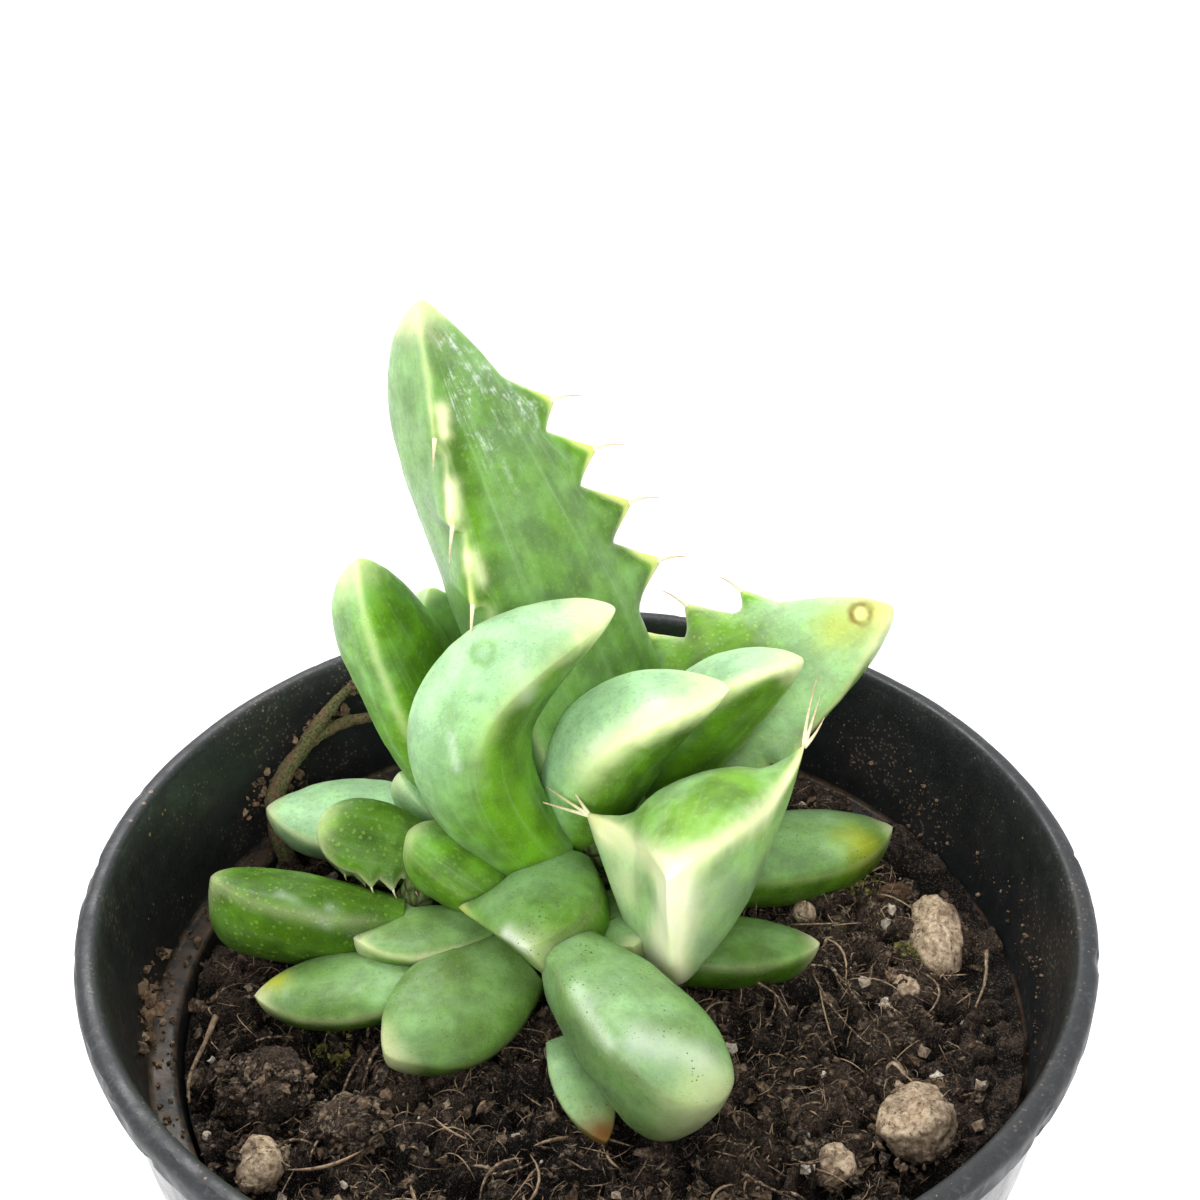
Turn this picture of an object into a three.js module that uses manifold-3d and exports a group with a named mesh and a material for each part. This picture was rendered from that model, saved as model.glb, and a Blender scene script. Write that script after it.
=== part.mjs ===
// Potted variegated tiger jaws: a small clump of thick, keeled, toothed leaves on two short stems,
// in the dark soil of a round black nursery pot.
// Millimetres, +Z up. The origin is the middle of the pot's flat bottom, and the front faces -Y.

import * as THREE from "three";
import { mergeVertices } from "three/addons/utils/BufferGeometryUtils.js";
import Module from "manifold-3d";

const wasm = await Module();
wasm.setup();

// Driving sizes of the pot
const POT_HEIGHT = 54;
const RIM_RADIUS = 32;
const RIM_BAND = 1.4;
const LIP_HEIGHT = 1.8;
const FOOT_RADIUS = 25;
const COLLAR_DEPTH = 11;
const LEDGE_WIDTH = 1.7;
const WALL = 1.3;
const FLOOR = 1.4;
const CHAMFER = 0.5;
const POT_SIDES = 48;

// Drain holes round the bottom, well clear of the middle that the pot is measured on
const DRAIN_COUNT = 4;
const DRAIN_RADIUS = 2.4;
const DRAIN_CIRCLE = 17;

// Clearance between pieces that touch on the real plant
const GAP = 0.3;

// Heights that follow from the pot
const LEDGE_HEIGHT = POT_HEIGHT - COLLAR_DEPTH;
const INNER_RIM = RIM_RADIUS - RIM_BAND;
const COLLAR_FOOT = INNER_RIM - 1.3;
const LOWER_WALL_TOP = COLLAR_FOOT - LEDGE_WIDTH;
const LOWER_WALL_FOOT = FOOT_RADIUS - WALL;

// Soil
const SOIL_LEVEL = 42.7;
const SOIL_FALL = 0.04;
const SOIL_SIDES = 40;
const SOIL_RINGS = [0.16, 0.34, 0.52, 0.68, 0.82, 0.93];

// Stems: foot in the soil, crown hidden among the leaf roots
const STEM_FOOT = 35;
const STEM_NECK = 0.9; // thickness below the crown, as a share of the crown's
const STEM_SIDES = 14;
const MAIN_STEM = { x: 1, y: 8.5, radius: 3.2, top: 54 };
const OFFSET_STEM = { x: -12.2, y: 4.2, radius: 1.9, top: 49 };

// Shape that every leaf shares unless its own entry says otherwise.
// Lengths in mm; stations along the leaf run from 0 at the root to 1 at the tip.
const LEAF_SHAPE = {
  bow: 0.3, // how far the middle bulges towards the keel
  sway: 0, // how far the middle bulges sideways
  crown: 0.15, // height of the upper face's swell, as a share of the width
  rootWidth: 0.6, // width at the root, as a share of the widest
  widest: 0.5, // station where it is widest
  taper: [2, 0.75], // how the width closes to the tip
  rootDepth: 0.75, // depth at the root, as a share of the deepest
  deepest: 0.68, // station where the keel is deepest
  chin: [2.2, 0.6], // how the keel closes up to the tip
  keelPower: 1.5, // 2 is a round underside, 1 a sharp keel
  keelShift: 0, // sideways shift of the keel, in mm
  teeth: [], // each tooth: station, half length along the margin, height, side (1 right, -1 left)
  toothRise: 0.25, // how far a tooth curls up off the upper face, as a share of its height
  toothLean: 0.3, // how far a tooth leans back to the root, as a share of its height
};

// The leaves, from those in front to those that give way to them.
// root and tip are the ends of the leaf's middle line; faces is the way its upper face looks.
const LEAVES = [
  {
    name: "front_toothed_leaf", root: [7.8, 7.2, 51], tip: [4.8, -6.7, 57.4], faces: [-0.38, 0.1, 0.92],
    width: 10.9, depth: 9, crown: 0.28, bow: -1.1, sway: -1.9, widest: 0.45, taper: [1.4, 0.9],
    deepest: 0.75, chin: [2.2, 0.5], keelPower: 2.1, keelShift: 5, toothRise: 1.15, toothLean: 0.6,
    teeth: [[0.42, 0.14, 2.4, 1], [0.42, 0.14, 2.3, -1]],
  },
  {
    name: "crescent_leaf", root: [-3.1, 6.4, 48], tip: [1.8, 11.2, 66], faces: [-0.2, 0.95, -0.2],
    width: 8.5, depth: 5, bow: 0.4, sway: 7.7, rootWidth: 0.65, widest: 0.45, taper: [2.5, 0.7],
  },
  {
    name: "inner_right_leaf", root: [0.2, 9.7, 48], tip: [9.7, 8.9, 61], faces: [0.25, 0.9, -0.3],
    width: 8, depth: 5, bow: 1.5, sway: 3.3, widest: 0.4, keelPower: 1.4,
  },
  {
    name: "outer_right_leaf", root: [5.5, 15.9, 47], tip: [15.3, 13.3, 60.5], faces: [0.5, 0.8, -0.4],
    width: 7.2, depth: 5, bow: 1.2, sway: 1.6, widest: 0.45, keelPower: 1.4,
  },
  {
    name: "tall_back_leaf", root: [4.2, 12.5, 46], tip: [-11.2, 20, 84.7], faces: [0.78, -0.56, 0.2],
    width: 14.5, depth: 9.5, crown: 0.1, bow: -0.5, sway: 0.6, rootWidth: 0.9, widest: 0.3,
    taper: [1.7, 0.72], toothLean: 0.05,
    teeth: [
      [0.755, 0.055, 2.4, 1], [0.645, 0.057, 3.2, 1], [0.53, 0.06, 3.6, 1], [0.41, 0.062, 3.6, 1],
      [0.67, 0.05, 1.6, -1], [0.53, 0.06, 2.2, -1], [0.4, 0.06, 2.4, -1],
    ],
  },
  {
    name: "back_right_toothed_leaf", root: [4.3, 18, 50], tip: [21.9, 16.8, 63],
    faces: [-0.2, -0.62, 0.68], width: 12, depth: 6, bow: 0.5, widest: 0.4, taper: [1.5, 0.8],
    teeth: [
      [0.58, 0.06, 1.8, -1], [0.38, 0.08, 2.2, -1], [0.2, 0.07, 2.4, -1], [0.45, 0.06, 2, 1],
      [0.3, 0.06, 2.4, 1],
    ],
  },
  {
    name: "short_front_leaf", root: [-2, 5, 49], tip: [-3.8, -5.7, 51], faces: [-0.1, 0.3, 0.9],
    width: 7.5, depth: 4.2, crown: 0.22, bow: 0, taper: [1.6, 0.75], keelPower: 1.7, keelShift: -2,
    toothRise: 0, teeth: [[0.58, 0.24, 2.3, 1]],
  },
  {
    name: "broad_front_leaf", root: [-1.1, -4, 49.5], tip: [7.4, -16.3, 49.2], faces: [0.1, 0.2, 1],
    width: 7.2, depth: 6.4, crown: 0.22, bow: -0.5, taper: [3, 0.5], keelPower: 1.9,
  },
  {
    name: "left_upright_leaf", root: [-8, 13.8, 47], tip: [-16.1, 15, 67.8], faces: [0.89, -0.26, 0.36],
    width: 9.5, depth: 5.2, bow: -0.48, sway: -0.13, widest: 0.45, taper: [2, 0.7],
  },
  {
    name: "small_back_leaf", root: [-4, 16, 46], tip: [-11.9, 20, 62.6], faces: [0.7, -0.6, 0.3],
    width: 8, depth: 5, bow: 1,
  },
  {
    name: "offset_finger_leaf", root: [-5.7, 2.2, 48], tip: [-12.5, 5.2, 51.5], faces: [-0.6, 0.3, 0.6],
    width: 5, depth: 3.5, crown: 0.35, bow: -0.3, taper: [3, 0.6], keelPower: 1.9,
  },
  {
    name: "offset_inner_leaf", root: [-11.2, 6.3, 49], tip: [-19.1, 6.7, 51], faces: [0.1, -0.5, 0.8],
    width: 5.5, depth: 3, crown: 0.25, taper: [2.6, 0.6], keelPower: 1.8, toothLean: 0.35,
    teeth: [[0.45, 0.09, 0.9, -1], [0.27, 0.09, 1.1, -1], [0.1, 0.08, 1.1, -1]],
  },
  {
    name: "offset_outer_leaf", root: [-12.8, 2.6, 46.5], tip: [-25.7, 2.3, 49.9],
    faces: [0.3, 0.4, 0.8], width: 7.4, depth: 4.6, crown: 0.18, taper: [2.4, 0.6], chin: [3, 0.6],
    keelPower: 1.8,
  },
  {
    name: "offset_front_leaf", root: [-6.7, 1.1, 47], tip: [-15.7, -1, 47.5], faces: [0, 0.1, 0.9],
    width: 5.5, depth: 3, keelPower: 1.6, toothLean: 0.2, teeth: [[0.6, 0.1, 0.8, 1]],
  },
  {
    name: "left_low_leaf", root: [-10.5, -2.9, 46], tip: [-21.8, -4.5, 45.8], faces: [0, 0, 1],
    width: 6.2, depth: 2.7, bow: 0.2, keelPower: 1.6,
  },
  {
    name: "front_left_leaf", root: [-4.5, -2, 46.5], tip: [-12.5, -9.6, 45.9], faces: [0.1, -0.2, 0.95],
    width: 8.2, depth: 3.8, bow: 0.2,
  },
  {
    name: "dry_tipped_leaf", root: [-1.7, -7.5, 45], tip: [1.2, -14.9, 44.4], faces: [0, 0.1, 1],
    width: 3.4, depth: 1.5, bow: 0, keelPower: 1.6,
  },
  {
    name: "front_right_low_leaf", root: [4.2, -0.6, 46.5], tip: [15.8, 0.1, 46], faces: [0, 0.2, 1],
    width: 6.2, depth: 3.2, bow: 0, keelPower: 1.4,
  },
  {
    name: "right_low_leaf", root: [7.2, 6.2, 48], tip: [22.6, 10.9, 47.4], faces: [-0.1, 0, 1],
    width: 7.5, depth: 4.6, crown: 0.2, keelPower: 1.7,
  },
  {
    name: "left_back_low_leaf", root: [-10.5, 13.3, 46.5], tip: [-24.4, 13, 47.5], faces: [0, 0, 1],
    width: 8.2, depth: 4,
  },
  {
    name: "left_inner_leaf", root: [-7, 12, 46], tip: [-14, 12, 51.5], faces: [0.4, 0, 0.9], width: 5,
    depth: 2.6,
  },
  {
    name: "small_spiny_leaf", root: [1, 4, 46.5], tip: [3, -3.4, 49], faces: [-0.3, 0.6, 0.8], width: 6,
    depth: 3.6, bow: 0, toothLean: 0.3,
    teeth: [[0.62, 0.1, 0.8, 1], [0.38, 0.1, 0.9, 1], [0.62, 0.1, 0.8, -1], [0.38, 0.1, 0.9, -1]],
  },
  {
    name: "offset_back_leaf", root: [-12.6, 7.2, 47.2], tip: [-19.6, 8.6, 48.6],
    faces: [0.1, -0.2, 0.95], width: 4.6, depth: 2.6, teeth: [[0.6, 0.1, 0.7, -1], [0.4, 0.1, 0.8, -1]],
  },
  {
    name: "hidden_back_left_leaf", root: [-2, 13, 46.4], tip: [-8.5, 26, 48.6], faces: [0, 0, 1],
    width: 8, depth: 4,
  },
  {
    name: "hidden_back_right_leaf", root: [4, 13, 46.6], tip: [13.5, 26, 49], faces: [0, 0, 1],
    width: 8, depth: 4,
  },
];

// Grains, chips and clods that lie sunk in the soil: place on the soil, half sizes, turn about Z
const GRAINS = [
  { name: "perlite_right_large", at: [24.3, 2.8], half: [2.1, 3, 1.9], turn: 5, colour: 0xb9a48c },
  { name: "perlite_front_large", at: [20.2, -13.2], half: [2.1, 3.2, 1.8], turn: -35, colour: 0xc6b49c },
  { name: "pebble_right", at: [21.4, -2.2], half: [0.9, 1.2, 1.1], turn: 10, colour: 0xd9d2c4 },
  { name: "pebble_front", at: [14.7, -15.8], half: [1.2, 1.4, 1.0], turn: 0, colour: 0xcfc3ae },
  { name: "pebble_front_right", at: [19.4, -9.4], half: [0.8, 1.1, 0.9], turn: 30, colour: 0xe2dccf },
  { name: "perlite_left", at: [-19.8, -14.4], half: [1.5, 1.8, 1.3], turn: 35, colour: 0xc9b487 },
  { name: "pebble_under_leaf", at: [15.6, 5.2], half: [0.9, 1.0, 1.3], turn: 0, colour: 0xe6e1d6 },
  { name: "bark_chip_right", at: [22.3, 7.2], half: [1.5, 0.9, 1.2], turn: 40, colour: 0x7d5a45 },
  { name: "clod_left_large", at: [-20.4, -9.4], half: [3.1, 2.4, 2.1], turn: -10, colour: 0x2c211b },
  { name: "clod_left_small", at: [-14.6, -12.6], half: [2.4, 1.9, 1.6], turn: 25, colour: 0x33271f },
  { name: "clod_front", at: [7.5, -20.5], half: [2.6, 2.0, 1.5], turn: 12, colour: 0x2e231c },
];

// A mossy root that leans on the back left of the pot's wall, its foot in the soil
const ROOT_THICK = 0.75;
const MOSSY_ROOT = {
  name: "mossy_root",
  main: [
    [-23, 12.6, 41.4], [-24.3, 14.8, 46.4], [-22.6, 17.9, 49.2], [-19.9, 20.4, 50], [-17, 22.6, 49.4],
  ],
  fork: [[-22.6, 17.9, 49.2], [-20.6, 20.1, 51.4], [-19, 22, 52.6]],
};

const COLOURS = { pot: 0x17181b, soil: 0x33251d, stem: 0x7d8f55, leaf: 0x7fb765, root: 0x6d6240 };

// Solids from meshes and back

// A closed mesh whose shared corners are merged becomes a solid.
function solidOf(geometry) {
  const bare = geometry.clone();
  bare.deleteAttribute("normal");
  bare.deleteAttribute("uv");
  const merged = mergeVertices(bare, 1e-4);
  return new wasm.Manifold(new wasm.Mesh({
    numProp: 3,
    vertProperties: new Float32Array(merged.attributes.position.array),
    triVerts: new Uint32Array(merged.index.array),
  }));
}

// The largest connected piece of a solid, as a mesh geometry. Loose scraps of a cut are dropped.
function geometryOf(solid) {
  const parts = solid.decompose();
  parts.sort((a, b) => b.volume() - a.volume());
  const mesh = parts[0].getMesh();
  const geometry = new THREE.BufferGeometry();
  geometry.setAttribute("position", new THREE.BufferAttribute(new Float32Array(mesh.vertProperties), 3));
  geometry.setIndex(new THREE.BufferAttribute(new Uint32Array(mesh.triVerts), 1));
  return geometry;
}

// The same geometry with every corner moved outwards along its normal.
function swollen(geometry, by) {
  const bare = geometry.clone();
  bare.deleteAttribute("normal");
  bare.deleteAttribute("uv");
  const grown = mergeVertices(bare, 1e-4);
  grown.computeVertexNormals();
  const position = grown.attributes.position;
  const normal = grown.attributes.normal;
  for (let i = 0; i < position.count; i += 1) {
    position.setXYZ(
      i,
      position.getX(i) + by * normal.getX(i),
      position.getY(i) + by * normal.getY(i),
      position.getZ(i) + by * normal.getZ(i),
    );
  }
  return grown;
}

// Rings of points joined into one closed skin, with a point at each end.
function skin(firstPoint, rings, lastPoint) {
  const around = rings[0].length;
  const points = [firstPoint, ...rings.flat(), lastPoint];
  const last = points.length - 1;
  const index = [];
  for (let k = 0; k < around; k += 1) {
    const next = (k + 1) % around;
    index.push(0, 1 + next, 1 + k);
    for (let ring = 0; ring < rings.length - 1; ring += 1) {
      const a = 1 + ring * around + k;
      const b = 1 + ring * around + next;
      index.push(a, b, b + around, a, b + around, a + around);
    }
    const end = 1 + (rings.length - 1) * around;
    index.push(end + k, end + next, last);
  }
  const geometry = new THREE.BufferGeometry();
  const numbers = points.flatMap((p) => [p.x, p.y, p.z]);
  geometry.setAttribute("position", new THREE.Float32BufferAttribute(numbers, 3));
  geometry.setIndex(index);
  return geometry;
}

const UP = new THREE.Vector3(0, 0, 1);

function vector(values) {
  return new THREE.Vector3(values[0], values[1], values[2]);
}

// Pot

function potGeometry() {
  const outer = [
    [0, 0],
    [FOOT_RADIUS - CHAMFER, 0],
    [FOOT_RADIUS, CHAMFER],
    [LOWER_WALL_TOP + WALL, LEDGE_HEIGHT - 1.4],
    [COLLAR_FOOT + 0.9, LEDGE_HEIGHT - 0.4],
    [RIM_RADIUS - 0.8, POT_HEIGHT - LIP_HEIGHT - 0.4],
    [RIM_RADIUS, POT_HEIGHT - LIP_HEIGHT],
    [RIM_RADIUS, POT_HEIGHT - 0.35],
    [RIM_RADIUS - 0.35, POT_HEIGHT],
  ];
  const inner = [
    [INNER_RIM + 0.3, POT_HEIGHT],
    [INNER_RIM, POT_HEIGHT - 0.3],
    [COLLAR_FOOT, LEDGE_HEIGHT],
    [LOWER_WALL_TOP, LEDGE_HEIGHT - 0.2],
    [LOWER_WALL_FOOT, FLOOR + CHAMFER],
    [LOWER_WALL_FOOT - CHAMFER, FLOOR],
    [0, FLOOR],
  ];
  const profile = [...outer, ...inner].map(([radius, height]) => new THREE.Vector2(radius, height));
  const shell = new THREE.LatheGeometry(profile, POT_SIDES);
  shell.rotateX(Math.PI / 2);
  let pot = solidOf(shell);
  const drill = new THREE.CylinderGeometry(DRAIN_RADIUS, DRAIN_RADIUS, 4 * FLOOR, 16);
  drill.rotateX(Math.PI / 2);
  for (let i = 0; i < DRAIN_COUNT; i += 1) {
    const angle = (2 * Math.PI * (i + 0.5)) / DRAIN_COUNT;
    const placed = drill.clone();
    placed.translate(DRAIN_CIRCLE * Math.cos(angle), DRAIN_CIRCLE * Math.sin(angle), FLOOR / 2);
    pot = pot.subtract(solidOf(placed));
  }
  return geometryOf(pot);
}

// Soil

// Height of the soil: a slow fall to the left, with low lumps that fade out towards the wall.
function soilHeight(x, y) {
  const lumps = 0.34 * Math.sin(0.42 * x + 1.1) * Math.cos(0.37 * y - 0.6)
    + 0.22 * Math.sin(0.83 * x - 0.5 * y + 2);
  const fade = 1 - (Math.hypot(x, y) / COLLAR_FOOT) ** 4;
  return SOIL_LEVEL + SOIL_FALL * x + lumps * fade;
}

// Radius of the lower wall's inside at a height.
function wallRadius(height) {
  const share = (height - FLOOR) / (LEDGE_HEIGHT - FLOOR);
  return LOWER_WALL_FOOT + (LOWER_WALL_TOP - LOWER_WALL_FOOT) * share;
}

// Where the soil stands higher than the ledge it spreads over it. Elsewhere it stops at the lower wall.
function soilGeometry() {
  const foot = [];
  const shoulder = [];
  const overhang = [];
  const edge = [];
  const top = SOIL_RINGS.map(() => []);
  const floor = FLOOR + GAP;
  const ledgeTop = LEDGE_HEIGHT + GAP;
  for (let k = 0; k < SOIL_SIDES; k += 1) {
    const angle = (2 * Math.PI * k) / SOIL_SIDES;
    const cos = Math.cos(angle);
    const sin = Math.sin(angle);
    const at = (radius, height) => new THREE.Vector3(radius * cos, radius * sin, height);
    const level = soilHeight(27 * cos, 27 * sin);
    const over = THREE.MathUtils.smoothstep(level, ledgeTop + 0.15, ledgeTop + 0.4);
    const narrow = wallRadius(LEDGE_HEIGHT) - GAP - 0.1;
    const wide = COLLAR_FOOT - GAP;
    const edgeRadius = narrow + (wide - narrow) * over;
    const under = Math.min(level - 0.12, ledgeTop);
    foot.push(at(LOWER_WALL_FOOT - CHAMFER - GAP, floor));
    shoulder.push(at(narrow - 0.05, under - 0.4));
    overhang.push(at(edgeRadius, under));
    edge.push(at(edgeRadius, level));
    SOIL_RINGS.forEach((share, ring) => {
      const radius = share * edgeRadius;
      top[ring].push(at(radius, soilHeight(radius * cos, radius * sin)));
    });
  }
  return skin(new THREE.Vector3(0, 0, floor), [foot, shoulder, overhang, edge, ...top.reverse()],
    new THREE.Vector3(0, 0, soilHeight(0, 0)));
}

// Stems

function stemGeometry({ x, y, radius, top }) {
  const profile = [
    [0, STEM_FOOT],
    [radius * 0.7, STEM_FOOT],
    [radius * STEM_NECK, STEM_FOOT + 2],
    [radius * STEM_NECK, top - 6],
    [radius, top - 4],
    [radius * 0.8, top - 1.2],
    [radius * 0.35, top - 0.1],
    [0, top],
  ].map(([r, z]) => new THREE.Vector2(r, z));
  const stem = new THREE.LatheGeometry(profile, STEM_SIDES);
  stem.rotateX(Math.PI / 2);
  stem.translate(x, y, 0);
  return stem;
}

// The plain hole that a stem stands in.
function stemHole({ x, y, radius }) {
  const depth = SOIL_LEVEL + 4 - STEM_FOOT;
  const wide = radius * STEM_NECK + GAP;
  const hole = new THREE.CylinderGeometry(wide, wide, depth + GAP, STEM_SIDES);
  hole.rotateX(Math.PI / 2);
  hole.translate(x, y, STEM_FOOT - GAP + (depth + GAP) / 2);
  return hole;
}

// Leaves

// The two flanks of a tooth: reach along the margin, in half lengths, and hollowness (1 is straight)
const ROOTWARD_FLANK = { reach: 1.05, hollow: 1.6 };
const TIPWARD_FLANK = { reach: 1.3, hollow: 1.2 };

// Stations along a leaf: closer together towards the tip, with extra ones at every tooth.
function leafStations(leaf, steps) {
  const toothStations = leaf.teeth.flatMap(([at, half, tall]) => {
    const start = at - ROOTWARD_FLANK.reach * half;
    const end = at + TIPWARD_FLANK.reach * half;
    return tall > 1.2 ? [start, (start + at) / 2, at, (at + end) / 2, end] : [start, at, end];
  });
  const kept = [];
  for (const station of toothStations.sort((a, b) => a - b)) {
    if (station > 0.02 && (kept.length === 0 || station - kept[kept.length - 1] > 0.012)) {
      kept.push(station);
    }
  }
  const clear = 0.035;
  for (let i = 0; i < steps; i += 1) {
    const station = 1 - (1 - i / steps) ** 1.7;
    if (kept.every((other) => Math.abs(other - station) > clear)) {
      kept.push(station);
    }
  }
  return kept.sort((a, b) => a - b);
}

// Half width and keel depth at a station, as shares of their largest values.
function leafShares(leaf, s) {
  const rise = (from, peak) => from + (1 - from) * Math.sin((Math.PI / 2) * Math.min(s / peak, 1));
  const close = (peak, [power, root]) => (1 - Math.max(0, (s - peak) / (1 - peak)) ** power) ** root;
  return {
    width: rise(leaf.rootWidth, leaf.widest) * close(leaf.widest, leaf.taper),
    depth: rise(leaf.rootDepth, leaf.deepest) * close(leaf.deepest, leaf.chin),
  };
}

// How far a margin stands out at a station: each tooth is hooked, with its hollow flank to the root.
function toothHeight(leaf, s, side) {
  let height = 0;
  for (const [at, half, tall, where] of leaf.teeth) {
    if (where === side) {
      const { reach, hollow } = s < at ? ROOTWARD_FLANK : TIPWARD_FLANK;
      height = Math.max(height, tall * Math.max(0, 1 - Math.abs(s - at) / (reach * half)) ** hollow);
    }
  }
  return height;
}

// Angles round half a section, crowded at the two margins: 0 is the right margin, 90 the middle of
// the upper face, and the other half adds the keel at 270.
const LONG_LEAF = { steps: 10, angles: [0, 13, 34, 64, 90, 116, 146, 167] };
const SHORT_LEAF = { steps: 7, angles: [0, 16, 50, 90, 130, 164] };
const LONG_FROM = 15;
const TOOTH_SPREAD = 36;

// The leaf's skin. Its middle line is a parabola from root to tip. Across it lies a low crown above
// the margins and a half superellipse below them, which turns from round at the root to keeled.
function leafGeometry(spec) {
  const leaf = { ...LEAF_SHAPE, ...spec };
  const root = vector(leaf.root);
  const chord = vector(leaf.tip).sub(root);
  const { steps, angles } = chord.length() > LONG_FROM ? LONG_LEAF : SHORT_LEAF;
  // They run backwards, so that the skin faces outwards.
  const sectionAngles = [...angles, ...angles.map((angle) => angle + 180)].reverse();
  const along = chord.clone().normalize();
  const face = vector(leaf.faces);
  face.addScaledVector(along, -face.dot(along)).normalize();
  const side = new THREE.Vector3().crossVectors(along, face);

  const rings = leafStations(leaf, steps).map((s) => {
    const arch = 4 * s * (1 - s);
    const slope = 4 - 8 * s;
    const middle = root.clone().addScaledVector(chord, s)
      .addScaledVector(face, -leaf.bow * arch).addScaledVector(side, leaf.sway * arch);
    const tangent = chord.clone()
      .addScaledVector(face, -leaf.bow * slope).addScaledVector(side, leaf.sway * slope).normalize();
    const up = face.clone().addScaledVector(tangent, -face.dot(tangent)).normalize();
    const right = new THREE.Vector3().crossVectors(tangent, up);
    const shares = leafShares(leaf, s);
    const halfWidth = (leaf.width / 2) * shares.width;
    const crown = leaf.crown * leaf.width * shares.width;
    const depth = leaf.depth * shares.depth;
    const keeled = THREE.MathUtils.clamp((s - 0.15) / 0.5, 0, 1);
    const keelPower = 2 - (2 - leaf.keelPower) * keeled;
    return sectionAngles.map((degrees) => {
      const angle = THREE.MathUtils.degToRad(degrees);
      const cos = Math.cos(angle);
      const sin = Math.sin(angle);
      const upper = degrees <= 180;
      const power = upper ? 2.2 : keelPower;
      const drop = Math.abs(sin) ** (2 / power);
      const height = upper ? crown * drop : -depth * drop;
      const shift = upper ? 0 : leaf.keelShift * shares.depth * drop;
      const across = Math.sign(cos) * Math.abs(cos) ** (2 / power) * halfWidth + shift;
      const fromMargin = Math.min(Math.abs(degrees), Math.abs(degrees - 180), Math.abs(degrees - 360));
      const spread = Math.max(0, 1 - fromMargin / TOOTH_SPREAD);
      const tooth = toothHeight(leaf, s, Math.sign(cos)) * spread;
      return middle.clone()
        .addScaledVector(right, across + Math.sign(cos) * tooth)
        .addScaledVector(up, height + leaf.toothRise * tooth)
        .addScaledVector(tangent, -leaf.toothLean * tooth);
    });
  });
  return skin(root, rings, vector(leaf.tip));
}

// Grains

const GRAIN_RINGS = 5;
const GRAIN_SIDES = 9;

// A lumpy grain: an ellipsoid of a few rings whose radius varies slowly round it.
function grainGeometry({ at, half, turn }) {
  const centre = new THREE.Vector3(at[0], at[1], soilHeight(at[0], at[1]) + half[2] * 0.25);
  const rings = [];
  for (let ring = 1; ring < GRAIN_RINGS; ring += 1) {
    const polar = Math.PI - (Math.PI * ring) / GRAIN_RINGS;
    rings.push(Array.from({ length: GRAIN_SIDES }, (_, k) => {
      const angle = (2 * Math.PI * k) / GRAIN_SIDES;
      const lump = 1 + 0.12 * Math.sin(2 * angle + at[0]) + 0.09 * Math.cos(3 * polar + angle + at[1]);
      const point = new THREE.Vector3(
        half[0] * lump * Math.sin(polar) * Math.cos(angle),
        half[1] * lump * Math.sin(polar) * Math.sin(angle),
        half[2] * lump * Math.cos(polar),
      );
      return point.applyAxisAngle(UP, THREE.MathUtils.degToRad(turn)).add(centre);
    }));
  }
  const foot = centre.clone().add(new THREE.Vector3(0, 0, -half[2]));
  const crown = centre.clone().add(new THREE.Vector3(0, 0, half[2]));
  return skin(foot, rings, crown);
}

// A thin root as a tube along a smooth curve.
function rootTube(points, thick) {
  const path = new THREE.CatmullRomCurve3(points.map(vector));
  const section = new THREE.Shape();
  section.absarc(0, 0, thick, 0, 2 * Math.PI);
  const settings = { steps: 8, extrudePath: path, curveSegments: 3, bevelEnabled: false };
  return new THREE.ExtrudeGeometry(section, settings);
}

// Assembly

const plant = new THREE.Group();
plant.name = "potted_tiger_jaws";

function addPiece(name, geometry, colour, roughness) {
  const material = new THREE.MeshStandardMaterial({ color: colour, roughness, metalness: 0 });
  const mesh = new THREE.Mesh(geometry, material);
  mesh.name = name;
  plant.add(mesh);
}

addPiece("pot", potGeometry(), COLOURS.pot, 0.45);

const stems = [["main_stem", MAIN_STEM], ["offset_stem", OFFSET_STEM]];
const fixed = [];
for (const [name, stem] of stems) {
  const geometry = stemGeometry(stem);
  addPiece(name, geometryOf(solidOf(geometry)), COLOURS.stem, 0.7);
  fixed.push(solidOf(swollen(geometry, GAP)));
}

// Each leaf gives way to the stems and to the leaves before it in the list.
const leafSolids = [];
for (const spec of LEAVES) {
  const geometry = leafGeometry(spec);
  let solid = solidOf(geometry);
  for (const other of fixed) {
    solid = solid.subtract(other);
  }
  const cut = geometryOf(solid);
  addPiece(spec.name, cut, COLOURS.leaf, 0.45);
  const grown = solidOf(swollen(geometry, GAP));
  fixed.push(grown);
  leafSolids.push(grown);
}

// The soil has a plain hole for each stem, a socket for each grain and a dent under a low leaf.
let soil = solidOf(soilGeometry());
for (const [, stem] of stems) {
  soil = soil.subtract(solidOf(stemHole(stem)));
}
for (const leaf of leafSolids) {
  soil = soil.subtract(leaf);
}
for (const grain of GRAINS) {
  const geometry = grainGeometry(grain);
  addPiece(grain.name, geometryOf(solidOf(geometry)), grain.colour, 0.9);
  soil = soil.subtract(solidOf(swollen(geometry, GAP)));
}

const rootRuns = [MOSSY_ROOT.main, MOSSY_ROOT.fork].map((run) => solidOf(rootTube(run, ROOT_THICK)));
const mossyGeometry = geometryOf(rootRuns[0].add(rootRuns[1]));
addPiece(MOSSY_ROOT.name, mossyGeometry, COLOURS.root, 0.95);
soil = soil.subtract(solidOf(swollen(mossyGeometry, GAP)));

addPiece("soil", geometryOf(soil), COLOURS.soil, 1);

export default plant;
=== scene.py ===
"""Potted variegated tiger jaws: the look of a small toothed succulent in a black nursery pot."""

import itertools
import math

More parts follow.
